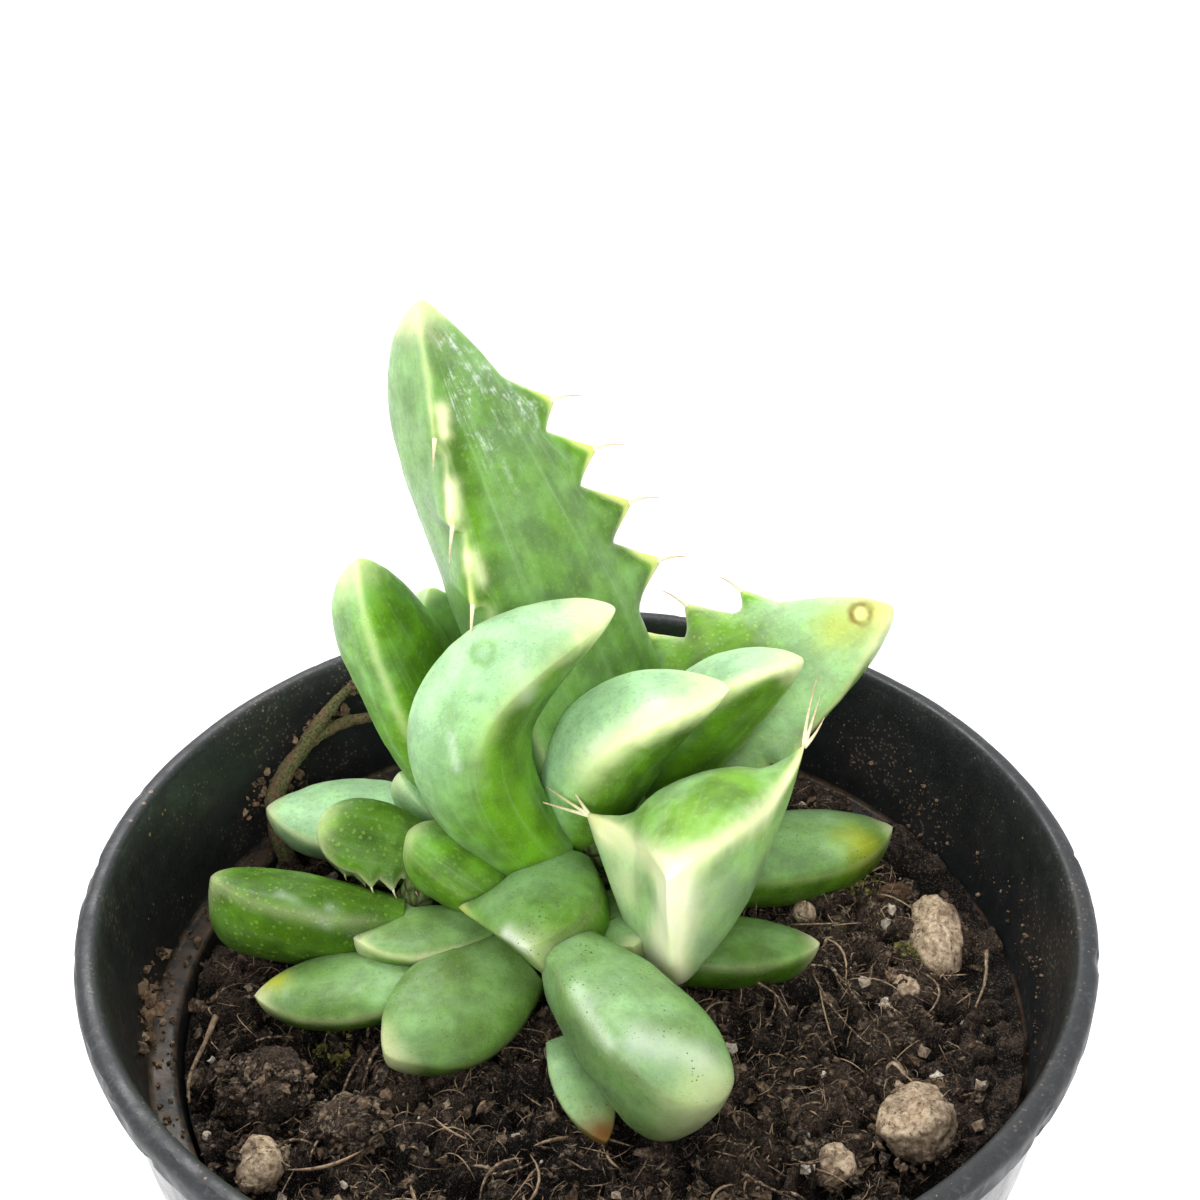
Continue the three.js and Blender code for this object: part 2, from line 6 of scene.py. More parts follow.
import bpy
import numpy as np
from bpy.props import FloatProperty, FloatVectorProperty, IntProperty, PointerProperty
from bpy.types import Operator, Panel, PropertyGroup
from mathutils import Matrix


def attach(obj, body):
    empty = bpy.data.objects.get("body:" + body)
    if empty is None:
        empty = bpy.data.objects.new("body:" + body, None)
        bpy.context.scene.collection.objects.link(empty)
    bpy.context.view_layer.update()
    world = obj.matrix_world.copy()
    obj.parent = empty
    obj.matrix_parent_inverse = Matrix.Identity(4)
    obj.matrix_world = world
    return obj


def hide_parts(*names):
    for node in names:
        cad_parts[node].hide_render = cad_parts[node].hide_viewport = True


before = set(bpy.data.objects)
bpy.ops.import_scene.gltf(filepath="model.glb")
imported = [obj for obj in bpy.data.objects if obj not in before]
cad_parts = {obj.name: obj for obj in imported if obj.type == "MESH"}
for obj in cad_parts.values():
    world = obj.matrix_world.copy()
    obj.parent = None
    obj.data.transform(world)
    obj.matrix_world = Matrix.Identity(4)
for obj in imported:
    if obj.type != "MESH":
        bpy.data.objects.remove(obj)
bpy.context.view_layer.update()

bl_info = {
    "name": "Potted tiger jaws",
    "version": (1, 0, 0),
    "blender": (4, 5, 0),
    "location": "View3D > Sidebar > Tiger Jaws",
    "description": "Builds a potted variegated tiger jaws: leaves, bristles, soil, grains and pot",
    "category": "Add Mesh",
}

# Lengths below are in millimetres until a mesh is made
MM = 0.001

# Pot, as in the frame
POT_HEIGHT = 54.0
RIM_RADIUS = 32.0
RIM_BAND = 1.4
LIP_HEIGHT = 1.8
FOOT_RADIUS = 25.0
COLLAR_DEPTH = 11.0
LEDGE_WIDTH = 1.7
WALL = 1.3
FLOOR = 1.4
CHAMFER = 0.5
DRAIN_COUNT = 4
DRAIN_RADIUS = 2.4
DRAIN_CIRCLE = 17.0
LEDGE_HEIGHT = POT_HEIGHT - COLLAR_DEPTH
INNER_RIM = RIM_RADIUS - RIM_BAND
COLLAR_FOOT = INNER_RIM - 1.3
LOWER_WALL_TOP = COLLAR_FOOT - LEDGE_WIDTH
LOWER_WALL_FOOT = FOOT_RADIUS - WALL
POT_SIDES = 360
PROFILE_STEP = 1.4
PROFILE_ROUNDING = 0.35
FLASH_WAVES = 0.08
FLASH_NICKS = 0.17
POT_WOBBLE = 0.05

# Soil
GAP = 0.3
SOIL_LEVEL = 42.7
SOIL_FALL = 0.04
SOIL_GRID = 301
SOIL_RELIEF_MEAN = 0.67

# Numbers of loose bits, the share of them that are pale, and the seeds of the draws and of the noise
CRUMB_SEED = 11
CRUMBS_ON_CLOD = 170
CRUMBS_ON_GRAIN = 70
PERLITE_BITS = 190
MOSS_BITS = 60
LEDGE_CRUMBS = 420
PALE_SHARE = 0.07
FIBRE_SEED = 23
HAIRS_PER_FIBRE = 7
BRISTLE_SEED = 5
LEAF_SEED = 100

# Stems: foot, rings and points round, and for each its place, radius and top
STEM_FOOT = 35.0
STEM_GRID = (60, 40)
STEMS = {
    "main_stem": {"at": (1.0, 8.5), "radius": 3.2, "top": 54.0},
    "offset_stem": {"at": (-12.2, 4.2), "radius": 1.9, "top": 49.0},
}

# Camera, solved from the ellipse of the rim in the picture
CAMERA_PLACE = (0.8138, -71.333, 113.472)
CAMERA_PITCH = 29.5945
CAMERA_LENS = 42.0
CAMERA_SENSOR = 36.0

# Light and floor, in metres
KEY_PLACE = (-0.12, 0.26, 0.42)
KEY_SIZE = 0.16
FILL_PLACE = (-0.06, -0.46, 0.2)
FILL_SIZE = 0.4
LIT_POINT = (0, 0.008, 0.05)
FLOOR_REACH = 2.5
FLOOR_DROP = 0.0001

# Colours of the pot, the soil and the grains
DULL_DUST = (0.045, 0.036, 0.030)
FINE_SPECKS = (0.10, 0.080, 0.060)
BROWN_SPECKS = (0.26, 0.175, 0.095)
LEDGE_SOIL = (0.080, 0.050, 0.032)
SCUFFED_RIM = (0.075, 0.078, 0.085)
RED_PEAT = (0.050, 0.021, 0.010)
COIR_THREAD = (0.42, 0.30, 0.20)
PEAT_GRIT = (0.42, 0.33, 0.25)
MINERAL_SPECK = (0.52, 0.44, 0.35)
SOIL_MOSS = (0.085, 0.092, 0.018)
PERLITE = ((0.26, 0.17, 0.10), (0.78, 0.62, 0.44))
PERLITE_BROWN = (0.115, 0.070, 0.043)
PERLITE_PITS = (0.05, 0.032, 0.022)
BARK = ((0.045, 0.024, 0.014), (0.26, 0.15, 0.085))
ROOT_BARK = ((0.10, 0.062, 0.038), (0.27, 0.18, 0.10))
ROOT_MOSS = ((0.055, 0.058, 0.020), (0.20, 0.19, 0.085))
STEM_GREEN = ((0.045, 0.075, 0.018), (0.13, 0.19, 0.05))
STEM_SCAR = (0.035, 0.025, 0.014)
FLOOR_WHITE = ((0.965, 0.965, 0.965), (0.975, 0.975, 0.975))

# Dark, light and pale colours of the loose bits
BIT_COLOURS = {
    "peat_crumbs": ((0.004, 0.0025, 0.0018), (0.125, 0.078, 0.048), (0.34, 0.25, 0.17)),
    "perlite_bits": ((0.30, 0.21, 0.13), (0.66, 0.57, 0.45), (0.84, 0.81, 0.74)),
    "moss_tufts": ((0.014, 0.016, 0.005), (0.13, 0.125, 0.030), (0.36, 0.32, 0.09)),
    "wall_crumbs": ((0.03, 0.019, 0.012), (0.24, 0.15, 0.09), (0.34, 0.24, 0.15)),
    "coir": ((0.030, 0.016, 0.008), (0.46, 0.31, 0.19), (0.62, 0.48, 0.34)),
}

# Colours of the leaves and the bristles
WAXY_FLECK = (0.62, 0.82, 0.62)
PALE_STREAK = (0.52, 0.78, 0.50)
DARK_STREAK = (0.10, 0.30, 0.10)
PALE_DOT = (0.44, 0.76, 0.14)
# Tint of the painted shade on the leaves
PAINTED_SHADE_TINT = (0.32, 0.35, 0.09)
DARK_GRAIN = (0.16, 0.25, 0.10)
LIGHT_GRAIN = (0.70, 0.92, 0.50)
YELLOWED = (0.62, 0.62, 0.03)
DRIED_UP = (0.20, 0.085, 0.015)
# Pale scuffs with painted shine
SHINY_SCUFF = (0.85, 0.93, 0.86)
# Painted highlights on the leaves
PAINTED_HIGHLIGHT = (0.93, 0.98, 0.90)
SOIL_SPECK = (0.045, 0.05, 0.028)
GRIME = (0.055, 0.050, 0.035)
BRISTLE = ((0.90, 0.90, 0.55), (0.46, 0.22, 0.14))
BRISTLE_PALE = (0.97, 0.95, 0.85)

# How finely a leaf is divided: stations along it and points round it
LARGE = (150, 96)
MEDIUM = (96, 72)
SMALL = (72, 56)

# Shape and finish that every leaf shares unless its own entry says otherwise.
# Shape, as in the frame's source: stations run from 0 at the root to 1 at the tip, and teeth are
# (station, half length, height, side), where side is 1 for the right margin and -1 for the left.
# tooth_lean is how far the right and the left teeth lean back, bristle is the length of their
# bristles as a share of a full one, and grid is the number of stations and of points round.
# Finish: lush is how yellow-green the flesh shows through the pale bloom, and turn adds painted
# light and shade to it: flanks that look right and down, away from the light, show more flesh, and
# those that face the light more pale bloom. shade is painted shade that deepens the green and tints
# it olive, set deepest on the low leaves. cream is the strength of the pale bands on the margins,
# along the keel and at the tip, bands are their widths in mm, and wash is cream all over. dots and
# streaks are pale marks in the skin, and dust is dried soil on it.
# A mark is (kind, places, radius, strength), and places is one point or the two ends of a line. A
# scar is a pale spot in a brown ring, and a ring is greener. Every other kind names the attribute
# of leaf_paint that it adds to: sheen marks are painted highlights, frost marks pale scuffs with
# painted shine, and shade marks painted shade, or painted light where their strength is negative.
LEAF = {
    "bow": 0.3,
    "sway": 0.0,
    "crown": 0.15,
    "root_width": 0.6,
    "widest": 0.5,
    "taper": (2, 0.75),
    "root_depth": 0.75,
    "deepest": 0.68,
    "chin": (2.2, 0.6),
    "keel_power": 1.5,
    "keel_shift": 0.0,
    "teeth": (),
    "tooth_rise": 0.25,
    "tooth_lean": (0.3, 0.3),
    "bristle": 0.8,
    "grid": SMALL,
    "lush_and_painted_light": 0.35,
    "turn": 0.45,
    "cream": (0.12, 0.15, 0.5),
    "bands": (0.35, 0.5, 1.0),
    "wash": 0.0,
    "painted_shade": 0.0,
    "streaks": 0.3,
    "dots": 0.25,
    "dust": 0.45,
    "marks": (),
}

# The leaves, from those in front to those behind
LEAVES = {
    "front_toothed_leaf": {
        "root": (7.8, 7.2, 51), "tip": (4.8, -6.7, 57.4), "faces": (-0.38, 0.1, 0.92), "width": 10.9,
        "depth": 9, "crown": 0.28, "bow": -1.1, "sway": -1.9, "widest": 0.45, "taper": (1.4, 0.9),
        "deepest": 0.75, "chin": (2.2, 0.5), "keel_power": 2.1, "keel_shift": 5, "tooth_rise": 1.15,
        "tooth_lean": (0.6, 0.6), "teeth": ((0.42, 0.14, 2.4, 1), (0.42, 0.14, 2.3, -1)),
        "bristle": 1.5, "grid": LARGE, "lush_and_painted_light": 0.5, "turn": 0.1, "cream": (0.9, 1, 1),
        "bands": (0.8, 1.15, 1.5), "wash": 0.05, "dust": 0.15,
        "marks": (
            ("dust", (9.5, 1.1, 59.3), 0.4, 1), ("cream", (1, 2.4, 53.9, 4.8, -6.7, 57.3), 1.7, 0.9),
            ("painted_highlight", (4.8, -6.7, 57.3, 4.6, -4, 47), 2.2, 0.4), ("painted_highlight", (7.2, -5, 54.5), 4, 0.25),
            ("cream", (4.6, -6.5, 56, 4.4, -4.5, 48), 2.6, 0.8), ("cream", (2.4, -0.5, 52), 3, 0.45),
            ("lush_and_painted_light", (6.4, -2.5, 59, 9.5, 0.5, 59.5), 4, 0.8), ("lush_and_painted_light", (3.4, 0.5, 56.5), 3, 0.5),
            ("lush_and_painted_light", (7.2, -5, 54.5), 4, 0.4),
        ),
    },
    "crescent_leaf": {
        "root": (-3.1, 6.4, 48), "tip": (1.8, 11.2, 66), "faces": (-0.2, 0.95, -0.2), "width": 8.5,
        "depth": 5, "bow": 0.4, "sway": 7.7, "root_width": 0.65, "widest": 0.45, "taper": (2.5, 0.7),
        "grid": LARGE, "lush_and_painted_light": 0.5, "turn": 1.0, "cream": (0.1, 0.25, 1), "bands": (0.4, 0.7, 1.8),
        "dots": 0.1,
        "marks": (
            ("ring", (-6.8, 6.4, 65.4), 1.1, 0.45),
            ("painted_highlight", (-8.8, 3.3, 61, -8.5, 2.6, 58.8), 0.5, 0.4),
            ("painted_highlight", (-4.4, 5.2, 65.4, -3.9, 4.3, 63.3), 1.3, 0.25),
        ),
    },
    "inner_right_leaf": {
        "root": (0.2, 9.7, 48), "tip": (9.7, 8.9, 61), "faces": (0.25, 0.9, -0.3), "width": 8,
        "depth": 5, "bow": 1.5, "sway": 3.3, "widest": 0.4, "keel_power": 1.4, "grid": MEDIUM,
        "lush_and_painted_light": 0.55, "turn": 0.9, "cream": (0.15, 1, 0.9), "bands": (0.4, 1.3, 1.6),
        "marks": (("painted_highlight", (0.3, 5.3, 58.6, 4.9, 6, 61.7), 0.8, 0.4),),
    },
    "outer_right_leaf": {
        "root": (5.5, 15.9, 47), "tip": (15.3, 13.3, 60.5), "faces": (0.5, 0.8, -0.4), "width": 7.2,
        "depth": 5, "bow": 1.2, "sway": 1.6, "widest": 0.45, "keel_power": 1.4, "grid": MEDIUM,
        "lush_and_painted_light": 0.55, "turn": 0.8, "cream": (0.2, 0.8, 0.9), "bands": (0.4, 0.7, 1.2),
    },
    "tall_back_leaf": {
        "root": (4.2, 12.5, 46), "tip": (-11.2, 20, 84.7), "faces": (0.78, -0.56, 0.2), "width": 14.5,
        "depth": 9.5, "crown": 0.1, "bow": -0.5, "sway": 0.6, "root_width": 0.9, "widest": 0.3,
        "taper": (1.7, 0.72), "tooth_lean": (0.05, 0.75),
        "teeth": (
            (0.755, 0.055, 2.4, 1), (0.645, 0.057, 3.2, 1), (0.53, 0.06, 3.6, 1), (0.41, 0.062, 3.6, 1),
            (0.82, 0.05, 1.2, -1), (0.7, 0.055, 1.8, -1), (0.58, 0.06, 2.2, -1), (0.42, 0.06, 2.4, -1),
        ),
        "bristle": 1.25, "grid": (230, 112), "lush_and_painted_light": 0.6, "turn": 0.35, "painted_shade": 0.34,
        "cream": (0.35, 0.1, 0.9), "bands": (0.4, 0.5, 1.8), "streaks": 0.6, "dust": 0.5,
        "marks": (
            ("shiny_scuffs", (-9.5, 19.4, 82.1, -8.3, 17.1, 77.9), 1.6, 0.9),
            ("shiny_scuffs", (-7.6, 19.7, 79.7, -4.9, 21.2, 76.8), 3.4, 1),
            ("shiny_scuffs", (-7.1, 16.7, 75.7, -6.5, 18, 72), 2.4, 0.6),
            ("cream", (-9.7, 16, 78.4, -9.6, 15.4, 77), 0.9, 0.9),
            ("cream", (-9.2, 13.5, 74, -9, 12.7, 72.2), 1.0, 0.9),
            ("cream", (-8, 12, 69.4, -7.4, 11.5, 68), 1.0, 0.8),
            ("lush_and_painted_light", (-9, 15.5, 76.5, -7.5, 12.5, 68), 2.6, 0.35),
        ),
    },
    "back_right_toothed_leaf": {
        "root": (4.3, 18, 50), "tip": (21.9, 16.8, 63), "faces": (-0.2, -0.62, 0.68), "width": 12,
        "depth": 6, "bow": 0.5, "widest": 0.4, "taper": (1.5, 0.8),
        "teeth": (
            (0.58, 0.06, 1.8, -1), (0.38, 0.08, 2.2, -1), (0.2, 0.07, 2.4, -1), (0.45, 0.06, 2, 1),
            (0.3, 0.06, 2.4, 1),
        ),
        "bristle": 1.1, "grid": LARGE, "lush_and_painted_light": 0.5, "turn": 0.5, "cream": (0.45, 0.3, 0.9),
        "bands": (0.5, 0.5, 2.0), "wash": 0.1, "dots": 0.5,
        "marks": (
            ("scar", (19.8, 17, 62.2), 1.0, 1), ("yellow", (18, 17, 60.8, 21.4, 16.9, 62.8), 2.6, 0.5),
            ("lush_and_painted_light", (8.6, 22.4, 59.1, 7.8, 17.4, 54.4), 6, 1), ("lush_and_painted_light", (10.4, 17.9, 57.2), 5, 1),
            ("painted_shade", (7.8, 17.4, 54.4, 11, 17, 54), 5, 0.4),
        ),
    },
    "short_front_leaf": {
        "root": (-2, 5, 49), "tip": (-3.8, -5.7, 51), "faces": (-0.1, 0.3, 0.9), "width": 7.5,
        "depth": 4.2, "crown": 0.22, "bow": 0, "taper": (1.6, 0.75), "keel_power": 1.7,
        "keel_shift": -2, "tooth_rise": 0, "teeth": ((0.58, 0.24, 2.3, 1),), "bristle": 0,
        "grid": MEDIUM, "lush_and_painted_light": 0.8, "turn": 0.5, "painted_shade": 0.42, "cream": (0.1, 0.08, 0.3),
        "bands": (0.6, 0.5, 1.0), "dust": 0.8,
        "marks": (
            ("painted_highlight", (-5.2, -4.2, 50.8, -4.1, -5.5, 50.8), 1.0, 0.7),
            ("painted_shade", (-1.9, -5.2, 50), 5, 0.35), ("lush_and_painted_light", (-1.9, -5.2, 50), 5, 0.5),
        ),
    },
    "broad_front_leaf": {
        "root": (-1.1, -4, 49.5), "tip": (7.4, -16.3, 49.2), "faces": (0.1, 0.2, 1), "width": 7.2,
        "depth": 6.4, "crown": 0.22, "bow": -0.5, "taper": (3, 0.5), "keel_power": 1.9, "grid": MEDIUM,
        "lush_and_painted_light": 0.42, "turn": 0.3, "painted_shade": 0.55, "cream": (0.1, 0.15, 0.5), "bands": (0.5, 0.6, 1.6),
        "dust": 0.8,
        "marks": (
            ("painted_highlight", (3.1, -13.6, 51.4, 6.5, -14.3, 50.7), 1.8, 0.4),
            ("painted_highlight", (-0.7, -9.2, 51.2, 1.3, -13.3, 50.8), 0.9, 0.4),
            ("dust", (-1.7, -5.3, 50.7), 3, 0.5),
        ),
    },
    "left_upright_leaf": {
        "root": (-8, 13.8, 47), "tip": (-16.1, 15, 67.8), "faces": (0.89, -0.26, 0.36), "width": 9.5,
        "depth": 5.2, "bow": -0.48, "sway": -0.13, "widest": 0.45, "taper": (2, 0.7), "grid": LARGE,
        "lush_and_painted_light": 0.85, "turn": 0.5, "cream": (0.3, 0.1, 0.8), "bands": (0.4, 0.5, 1.6), "dust": 0.5,
    },
    "small_back_leaf": {
        "root": (-4, 16, 46), "tip": (-11.9, 20, 62.6), "faces": (0.7, -0.6, 0.3), "width": 8,
        "depth": 5, "bow": 1, "grid": MEDIUM, "lush_and_painted_light": 0.6,
    },
    "offset_finger_leaf": {
        "root": (-5.7, 2.2, 48), "tip": (-12.5, 5.2, 51.5), "faces": (-0.6, 0.3, 0.6), "width": 5,
        "depth": 3.5, "crown": 0.35, "bow": -0.3, "taper": (3, 0.6), "keel_power": 1.9, "lush_and_painted_light": 1.0,
        "turn": 0.15, "painted_shade": 0.3, "cream": (0.1, 0.1, 0.4),
        "marks": (("painted_shade", (-11.5, 3.5, 51.5), 4, -0.3),),
    },
    "offset_inner_leaf": {
        "root": (-11.2, 6.3, 49), "tip": (-19.1, 6.7, 51), "faces": (0.1, -0.5, 0.8), "width": 5.5,
        "depth": 3, "crown": 0.25, "taper": (2.6, 0.6), "keel_power": 1.8, "tooth_lean": (0.35, 0.35),
        "teeth": ((0.45, 0.09, 0.9, -1), (0.27, 0.09, 1.1, -1), (0.1, 0.08, 1.1, -1)), "bristle": 0.5,
        "grid": MEDIUM, "lush_and_painted_light": 1.0, "turn": 0.1, "painted_shade": 0.7, "cream": (0.5, 0.1, 0.4), "dots": 0.6,
        "marks": (("painted_shade", (-18.5, 5, 51), 4, -0.4),),
    },
    "offset_outer_leaf": {
        "root": (-12.8, 2.6, 46.5), "tip": (-25.7, 2.3, 49.9), "faces": (0.3, 0.4, 0.8), "width": 7.4,
        "depth": 4.6, "crown": 0.18, "taper": (2.4, 0.6), "chin": (3, 0.6), "keel_power": 1.8,
        "grid": LARGE, "lush_and_painted_light": 1.0, "turn": 0.05, "painted_shade": 0.85, "cream": (0.2, 0.1, 0.3),
        "bands": (0.45, 0.5, 0.8), "dots": 1.0, "dust": 0.3,
        "marks": (
            ("painted_highlight", (-20.5, 0.1, 50.3, -17.3, -1, 48.7), 0.6, 0.22),
            ("painted_highlight", (-17.3, -0.2, 49.4, -14.5, -0.5, 45.7), 0.6, 0.22),
            ("painted_shade", (-24.5, 0, 48.5), 5.5, -0.45),
        ),
    },
    "offset_front_leaf": {
        "root": (-6.7, 1.1, 47), "tip": (-15.7, -1, 47.5), "faces": (0, 0.1, 0.9), "width": 5.5,
        "depth": 3, "keel_power": 1.6, "tooth_lean": (0.2, 0.2), "teeth": ((0.6, 0.1, 0.8, 1),),
        "bristle": 0, "grid": MEDIUM, "lush_and_painted_light": 0.75, "turn": 0.7, "painted_shade": 0.7, "cream": (0.6, 0.1, 0.5),
        "dust": 0.6,
    },
    "left_low_leaf": {
        "root": (-10.5, -2.9, 46), "tip": (-21.8, -4.5, 45.8), "faces": (0, 0, 1), "width": 6.2,
        "depth": 2.7, "bow": 0.2, "keel_power": 1.6, "grid": MEDIUM, "lush_and_painted_light": 0.75, "turn": 0.7,
        "painted_shade": 0.68, "cream": (0.3, 0.2, 0.7), "dust": 0.6,
        "marks": (("yellow", (-20.6, -3.6, 46.2), 1.5, 0.7), ("lush_and_painted_light", (-18, -5, 45.5), 5, 0.4)),
    },
    "front_left_leaf": {
        "root": (-4.5, -2, 46.5), "tip": (-12.5, -9.6, 45.9), "faces": (0.1, -0.2, 0.95), "width": 8.2,
        "depth": 3.8, "bow": 0.2, "grid": MEDIUM, "lush_and_painted_light": 0.6, "painted_shade": 0.72, "cream": (0.1, 0.25, 0.7),
        "dust": 0.6,
    },
    "dry_tipped_leaf": {
        "root": (-1.7, -7.5, 45), "tip": (1.2, -14.9, 44.4), "faces": (0, 0.1, 1), "width": 3.4,
        "depth": 1.5, "bow": 0, "keel_power": 1.6, "lush_and_painted_light": 0.4, "painted_shade": 0.45, "dust": 0.7,
        "marks": (("brown", (1, -14.5, 44.5), 2.8, 1),),
    },
    "front_right_low_leaf": {
        "root": (4.2, -0.6, 46.5), "tip": (15.8, 0.1, 46), "faces": (0, 0.2, 1), "width": 6.2,
        "depth": 3.2, "bow": 0, "keel_power": 1.4, "grid": MEDIUM, "lush_and_painted_light": 0.85, "painted_shade": 0.75,
        "cream": (0.15, 0.15, 0.7), "dust": 0.6,
    },
    "right_low_leaf": {
        "root": (7.2, 6.2, 48), "tip": (22.6, 10.9, 47.4), "faces": (-0.1, 0, 1), "width": 7.5,
        "depth": 4.6, "crown": 0.2, "keel_power": 1.7, "grid": MEDIUM, "lush_and_painted_light": 0.6, "turn": 0.6,
        "painted_shade": 0.5, "cream": (0.15, 0.15, 0.7), "dust": 0.7,
        "marks": (("yellow", (19.5, 8, 48.3), 3, 0.42), ("lush_and_painted_light", (20.5, 8.3, 48), 4, 0.6)),
    },
    "left_back_low_leaf": {
        "root": (-10.5, 13.3, 46.5), "tip": (-24.4, 13, 47.5), "faces": (0, 0, 1), "width": 8.2,
        "depth": 4, "grid": MEDIUM, "lush_and_painted_light": 0.25, "turn": 0.3, "painted_shade": 0.05, "cream": (0.5, 0.2, 0.6),
    },
    "left_inner_leaf": {
        "root": (-7, 12, 46), "tip": (-14, 12, 51.5), "faces": (0.4, 0, 0.9), "width": 5, "depth": 2.6,
        "lush_and_painted_light": 0.2,
    },
    "small_spiny_leaf": {
        "root": (1, 4, 46.5), "tip": (3, -3.4, 49), "faces": (-0.3, 0.6, 0.8), "width": 6, "depth": 3.6,
        "bow": 0,
        "teeth": ((0.62, 0.1, 0.8, 1), (0.38, 0.1, 0.9, 1), (0.62, 0.1, 0.8, -1), (0.38, 0.1, 0.9, -1)),
        "lush_and_painted_light": 0.6, "painted_shade": 0.8,
    },
    "offset_back_leaf": {
        "root": (-12.6, 7.2, 47.2), "tip": (-19.6, 8.6, 48.6), "faces": (0.1, -0.2, 0.95), "width": 4.6,
        "depth": 2.6, "teeth": ((0.6, 0.1, 0.7, -1), (0.4, 0.1, 0.8, -1)), "bristle": 0.4, "lush_and_painted_light": 0.7,
        "painted_shade": 0.6,
    },
    "hidden_back_left_leaf": {
        "root": (-2, 13, 46.4), "tip": (-8.5, 26, 48.6), "faces": (0, 0, 1), "width": 8, "depth": 4,
    },
    "hidden_back_right_leaf": {
        "root": (4, 13, 46.6), "tip": (13.5, 26, 49), "faces": (0, 0, 1), "width": 8, "depth": 4,
    },
}

# Grains sunk in the soil: place, half sizes, turn about Z in degrees, and the finish
GRAINS = {
    "perlite_right_large": ((24.3, 2.8), (2.1, 3.0, 1.9), 5, "perlite"),
    "perlite_front_large": ((20.2, -13.2), (2.1, 3.2, 1.8), -35, "perlite"),
    "pebble_right": ((21.4, -2.2), (0.9, 1.2, 1.1), 10, "perlite"),
    "pebble_front": ((14.7, -15.8), (1.2, 1.4, 1.0), 0, "perlite"),
    "pebble_front_right": ((19.4, -9.4), (0.8, 1.1, 0.9), 30, "perlite"),
    "perlite_left": ((-19.8, -14.4), (1.5, 1.8, 1.3), 35, "perlite"),
    "pebble_under_leaf": ((15.6, 5.2), (0.9, 1.0, 1.3), 0, "perlite"),
    "bark_chip_right": ((22.3, 7.2), (1.5, 0.9, 1.2), 40, "bark"),
    "clod_left_large": ((-20.4, -9.4), (3.1, 2.4, 2.1), -10, "potting_soil"),
    "clod_left_small": ((-14.6, -12.6), (2.4, 1.9, 1.6), 25, "potting_soil"),
    "clod_front": ((7.5, -20.5), (2.6, 2.0, 1.5), 12, "potting_soil"),
}

# Rootlets and splinters that stand out of the soil: points of their middle lines and thickness
ROOTLETS = (
    (((-12.9, -6.6, 43.6), (-13.6, -7.6, 44.1), (-14.1, -9.0, 43.2), (-14.3, -9.9, 42.0)), 0.16),
    (((-15.4, -11.2, 43.9), (-15.1, -12.4, 44.3), (-14.8, -14.0, 43.4), (-14.7, -15.0, 42.2)), 0.17),
    (((-12.2, -7.0, 44.2), (-12.5, -8.4, 43.6), (-12.3, -10.3, 42.3)), 0.12),
    (((-24.6, -4.4, 43.8), (-24.9, -6.2, 43.4), (-25.4, -8.6, 42.8), (-25.2, -10.0, 42.0)), 0.19),
    (((16.2, -0.4, 44.9), (17.3, -2.6, 44.7), (19.0, -5.6, 44.2)), 0.13),
    (((15.2, -1.6, 44.8), (16.2, -4.4, 44.5), (17.9, -7.0, 44.1)), 0.09),
    (((10.6, -1.9, 45.0), (12.4, -3.4, 44.8), (13.1, -4.9, 44.3)), 0.09),
    (((27.3, 0.2, 45.2), (26.6, -2.4, 44.9), (25.4, -4.6, 44.3)), 0.14),
    (((17.6, 8.6, 45.4), (18.0, 7.6, 46.4), (17.4, 6.9, 45.9), (17.0, 7.2, 44.4)), 0.22),
    (((9.0, -17.5, 45.0), (10.2, -18.6, 45.2), (11.8, -18.9, 44.5)), 0.10),
)

# Moss tufts on the soil, as places and spreads, and crumbs stuck on the wall, as degrees round the
# pot, heights, spreads, numbers and sizes
MOSS_SPOTS = ((20.1, 8.1, 1.6), (22.2, 0.6, 1.0), (24.3, 2.2, 0.8), (-17.0, -5.6, 1.6))
WALL_SMEARS = (
    (136, 49.5, 1.3, 60, 1), (146, 46.5, 1.5, 70, 1), (128, 51.5, 1.0, 40, 1), (188, 44.3, 2.0, 70, 1),
    (356, 46.5, 1.6, 30, 0.35), (348, 45.5, 2.0, 30, 0.35), (8, 47.0, 2.5, 30, 0.3), (30, 46, 4, 60, 0.35),
)

# The mossy root that leans on the wall at the back left, as points of its two runs
ROOT_THICK = 0.75
ROOT_RUNS = (
    ((-23, 12.6, 41.4), (-24.3, 14.8, 46.4), (-22.6, 17.9, 49.2), (-19.9, 20.4, 50), (-17, 22.6, 49.4)),
    ((-22.6, 17.9, 49.2), (-20.6, 20.1, 51.4), (-19, 22, 52.6)),
)


# How many degrees of a section a tooth's root takes up from the margin
TOOTH_SPREAD = 44

# The direction away from the light: flanks that look this way get painted shade and show more flesh,
# and flanks that look the other way show more pale bloom, as painted light
SHADED = (0.62, -0.35, -0.70)


# Settings

class PotSettings(PropertyGroup):
    """What a user would change on the pot."""
    plastic: FloatVectorProperty(
        name="Plastic", description="Colour of the moulded plastic", subtype="COLOR",
        default=(0.008, 0.009, 0.010), min=0, max=1)
    gloss: FloatProperty(
        name="Roughness", description="How matt the plastic is", subtype="FACTOR",
        default=0.42, min=0, max=1)
    dust: FloatProperty(
        name="Dust", description="How much dried soil clings to the inside", subtype="FACTOR",
        default=0.5, min=0, max=1)


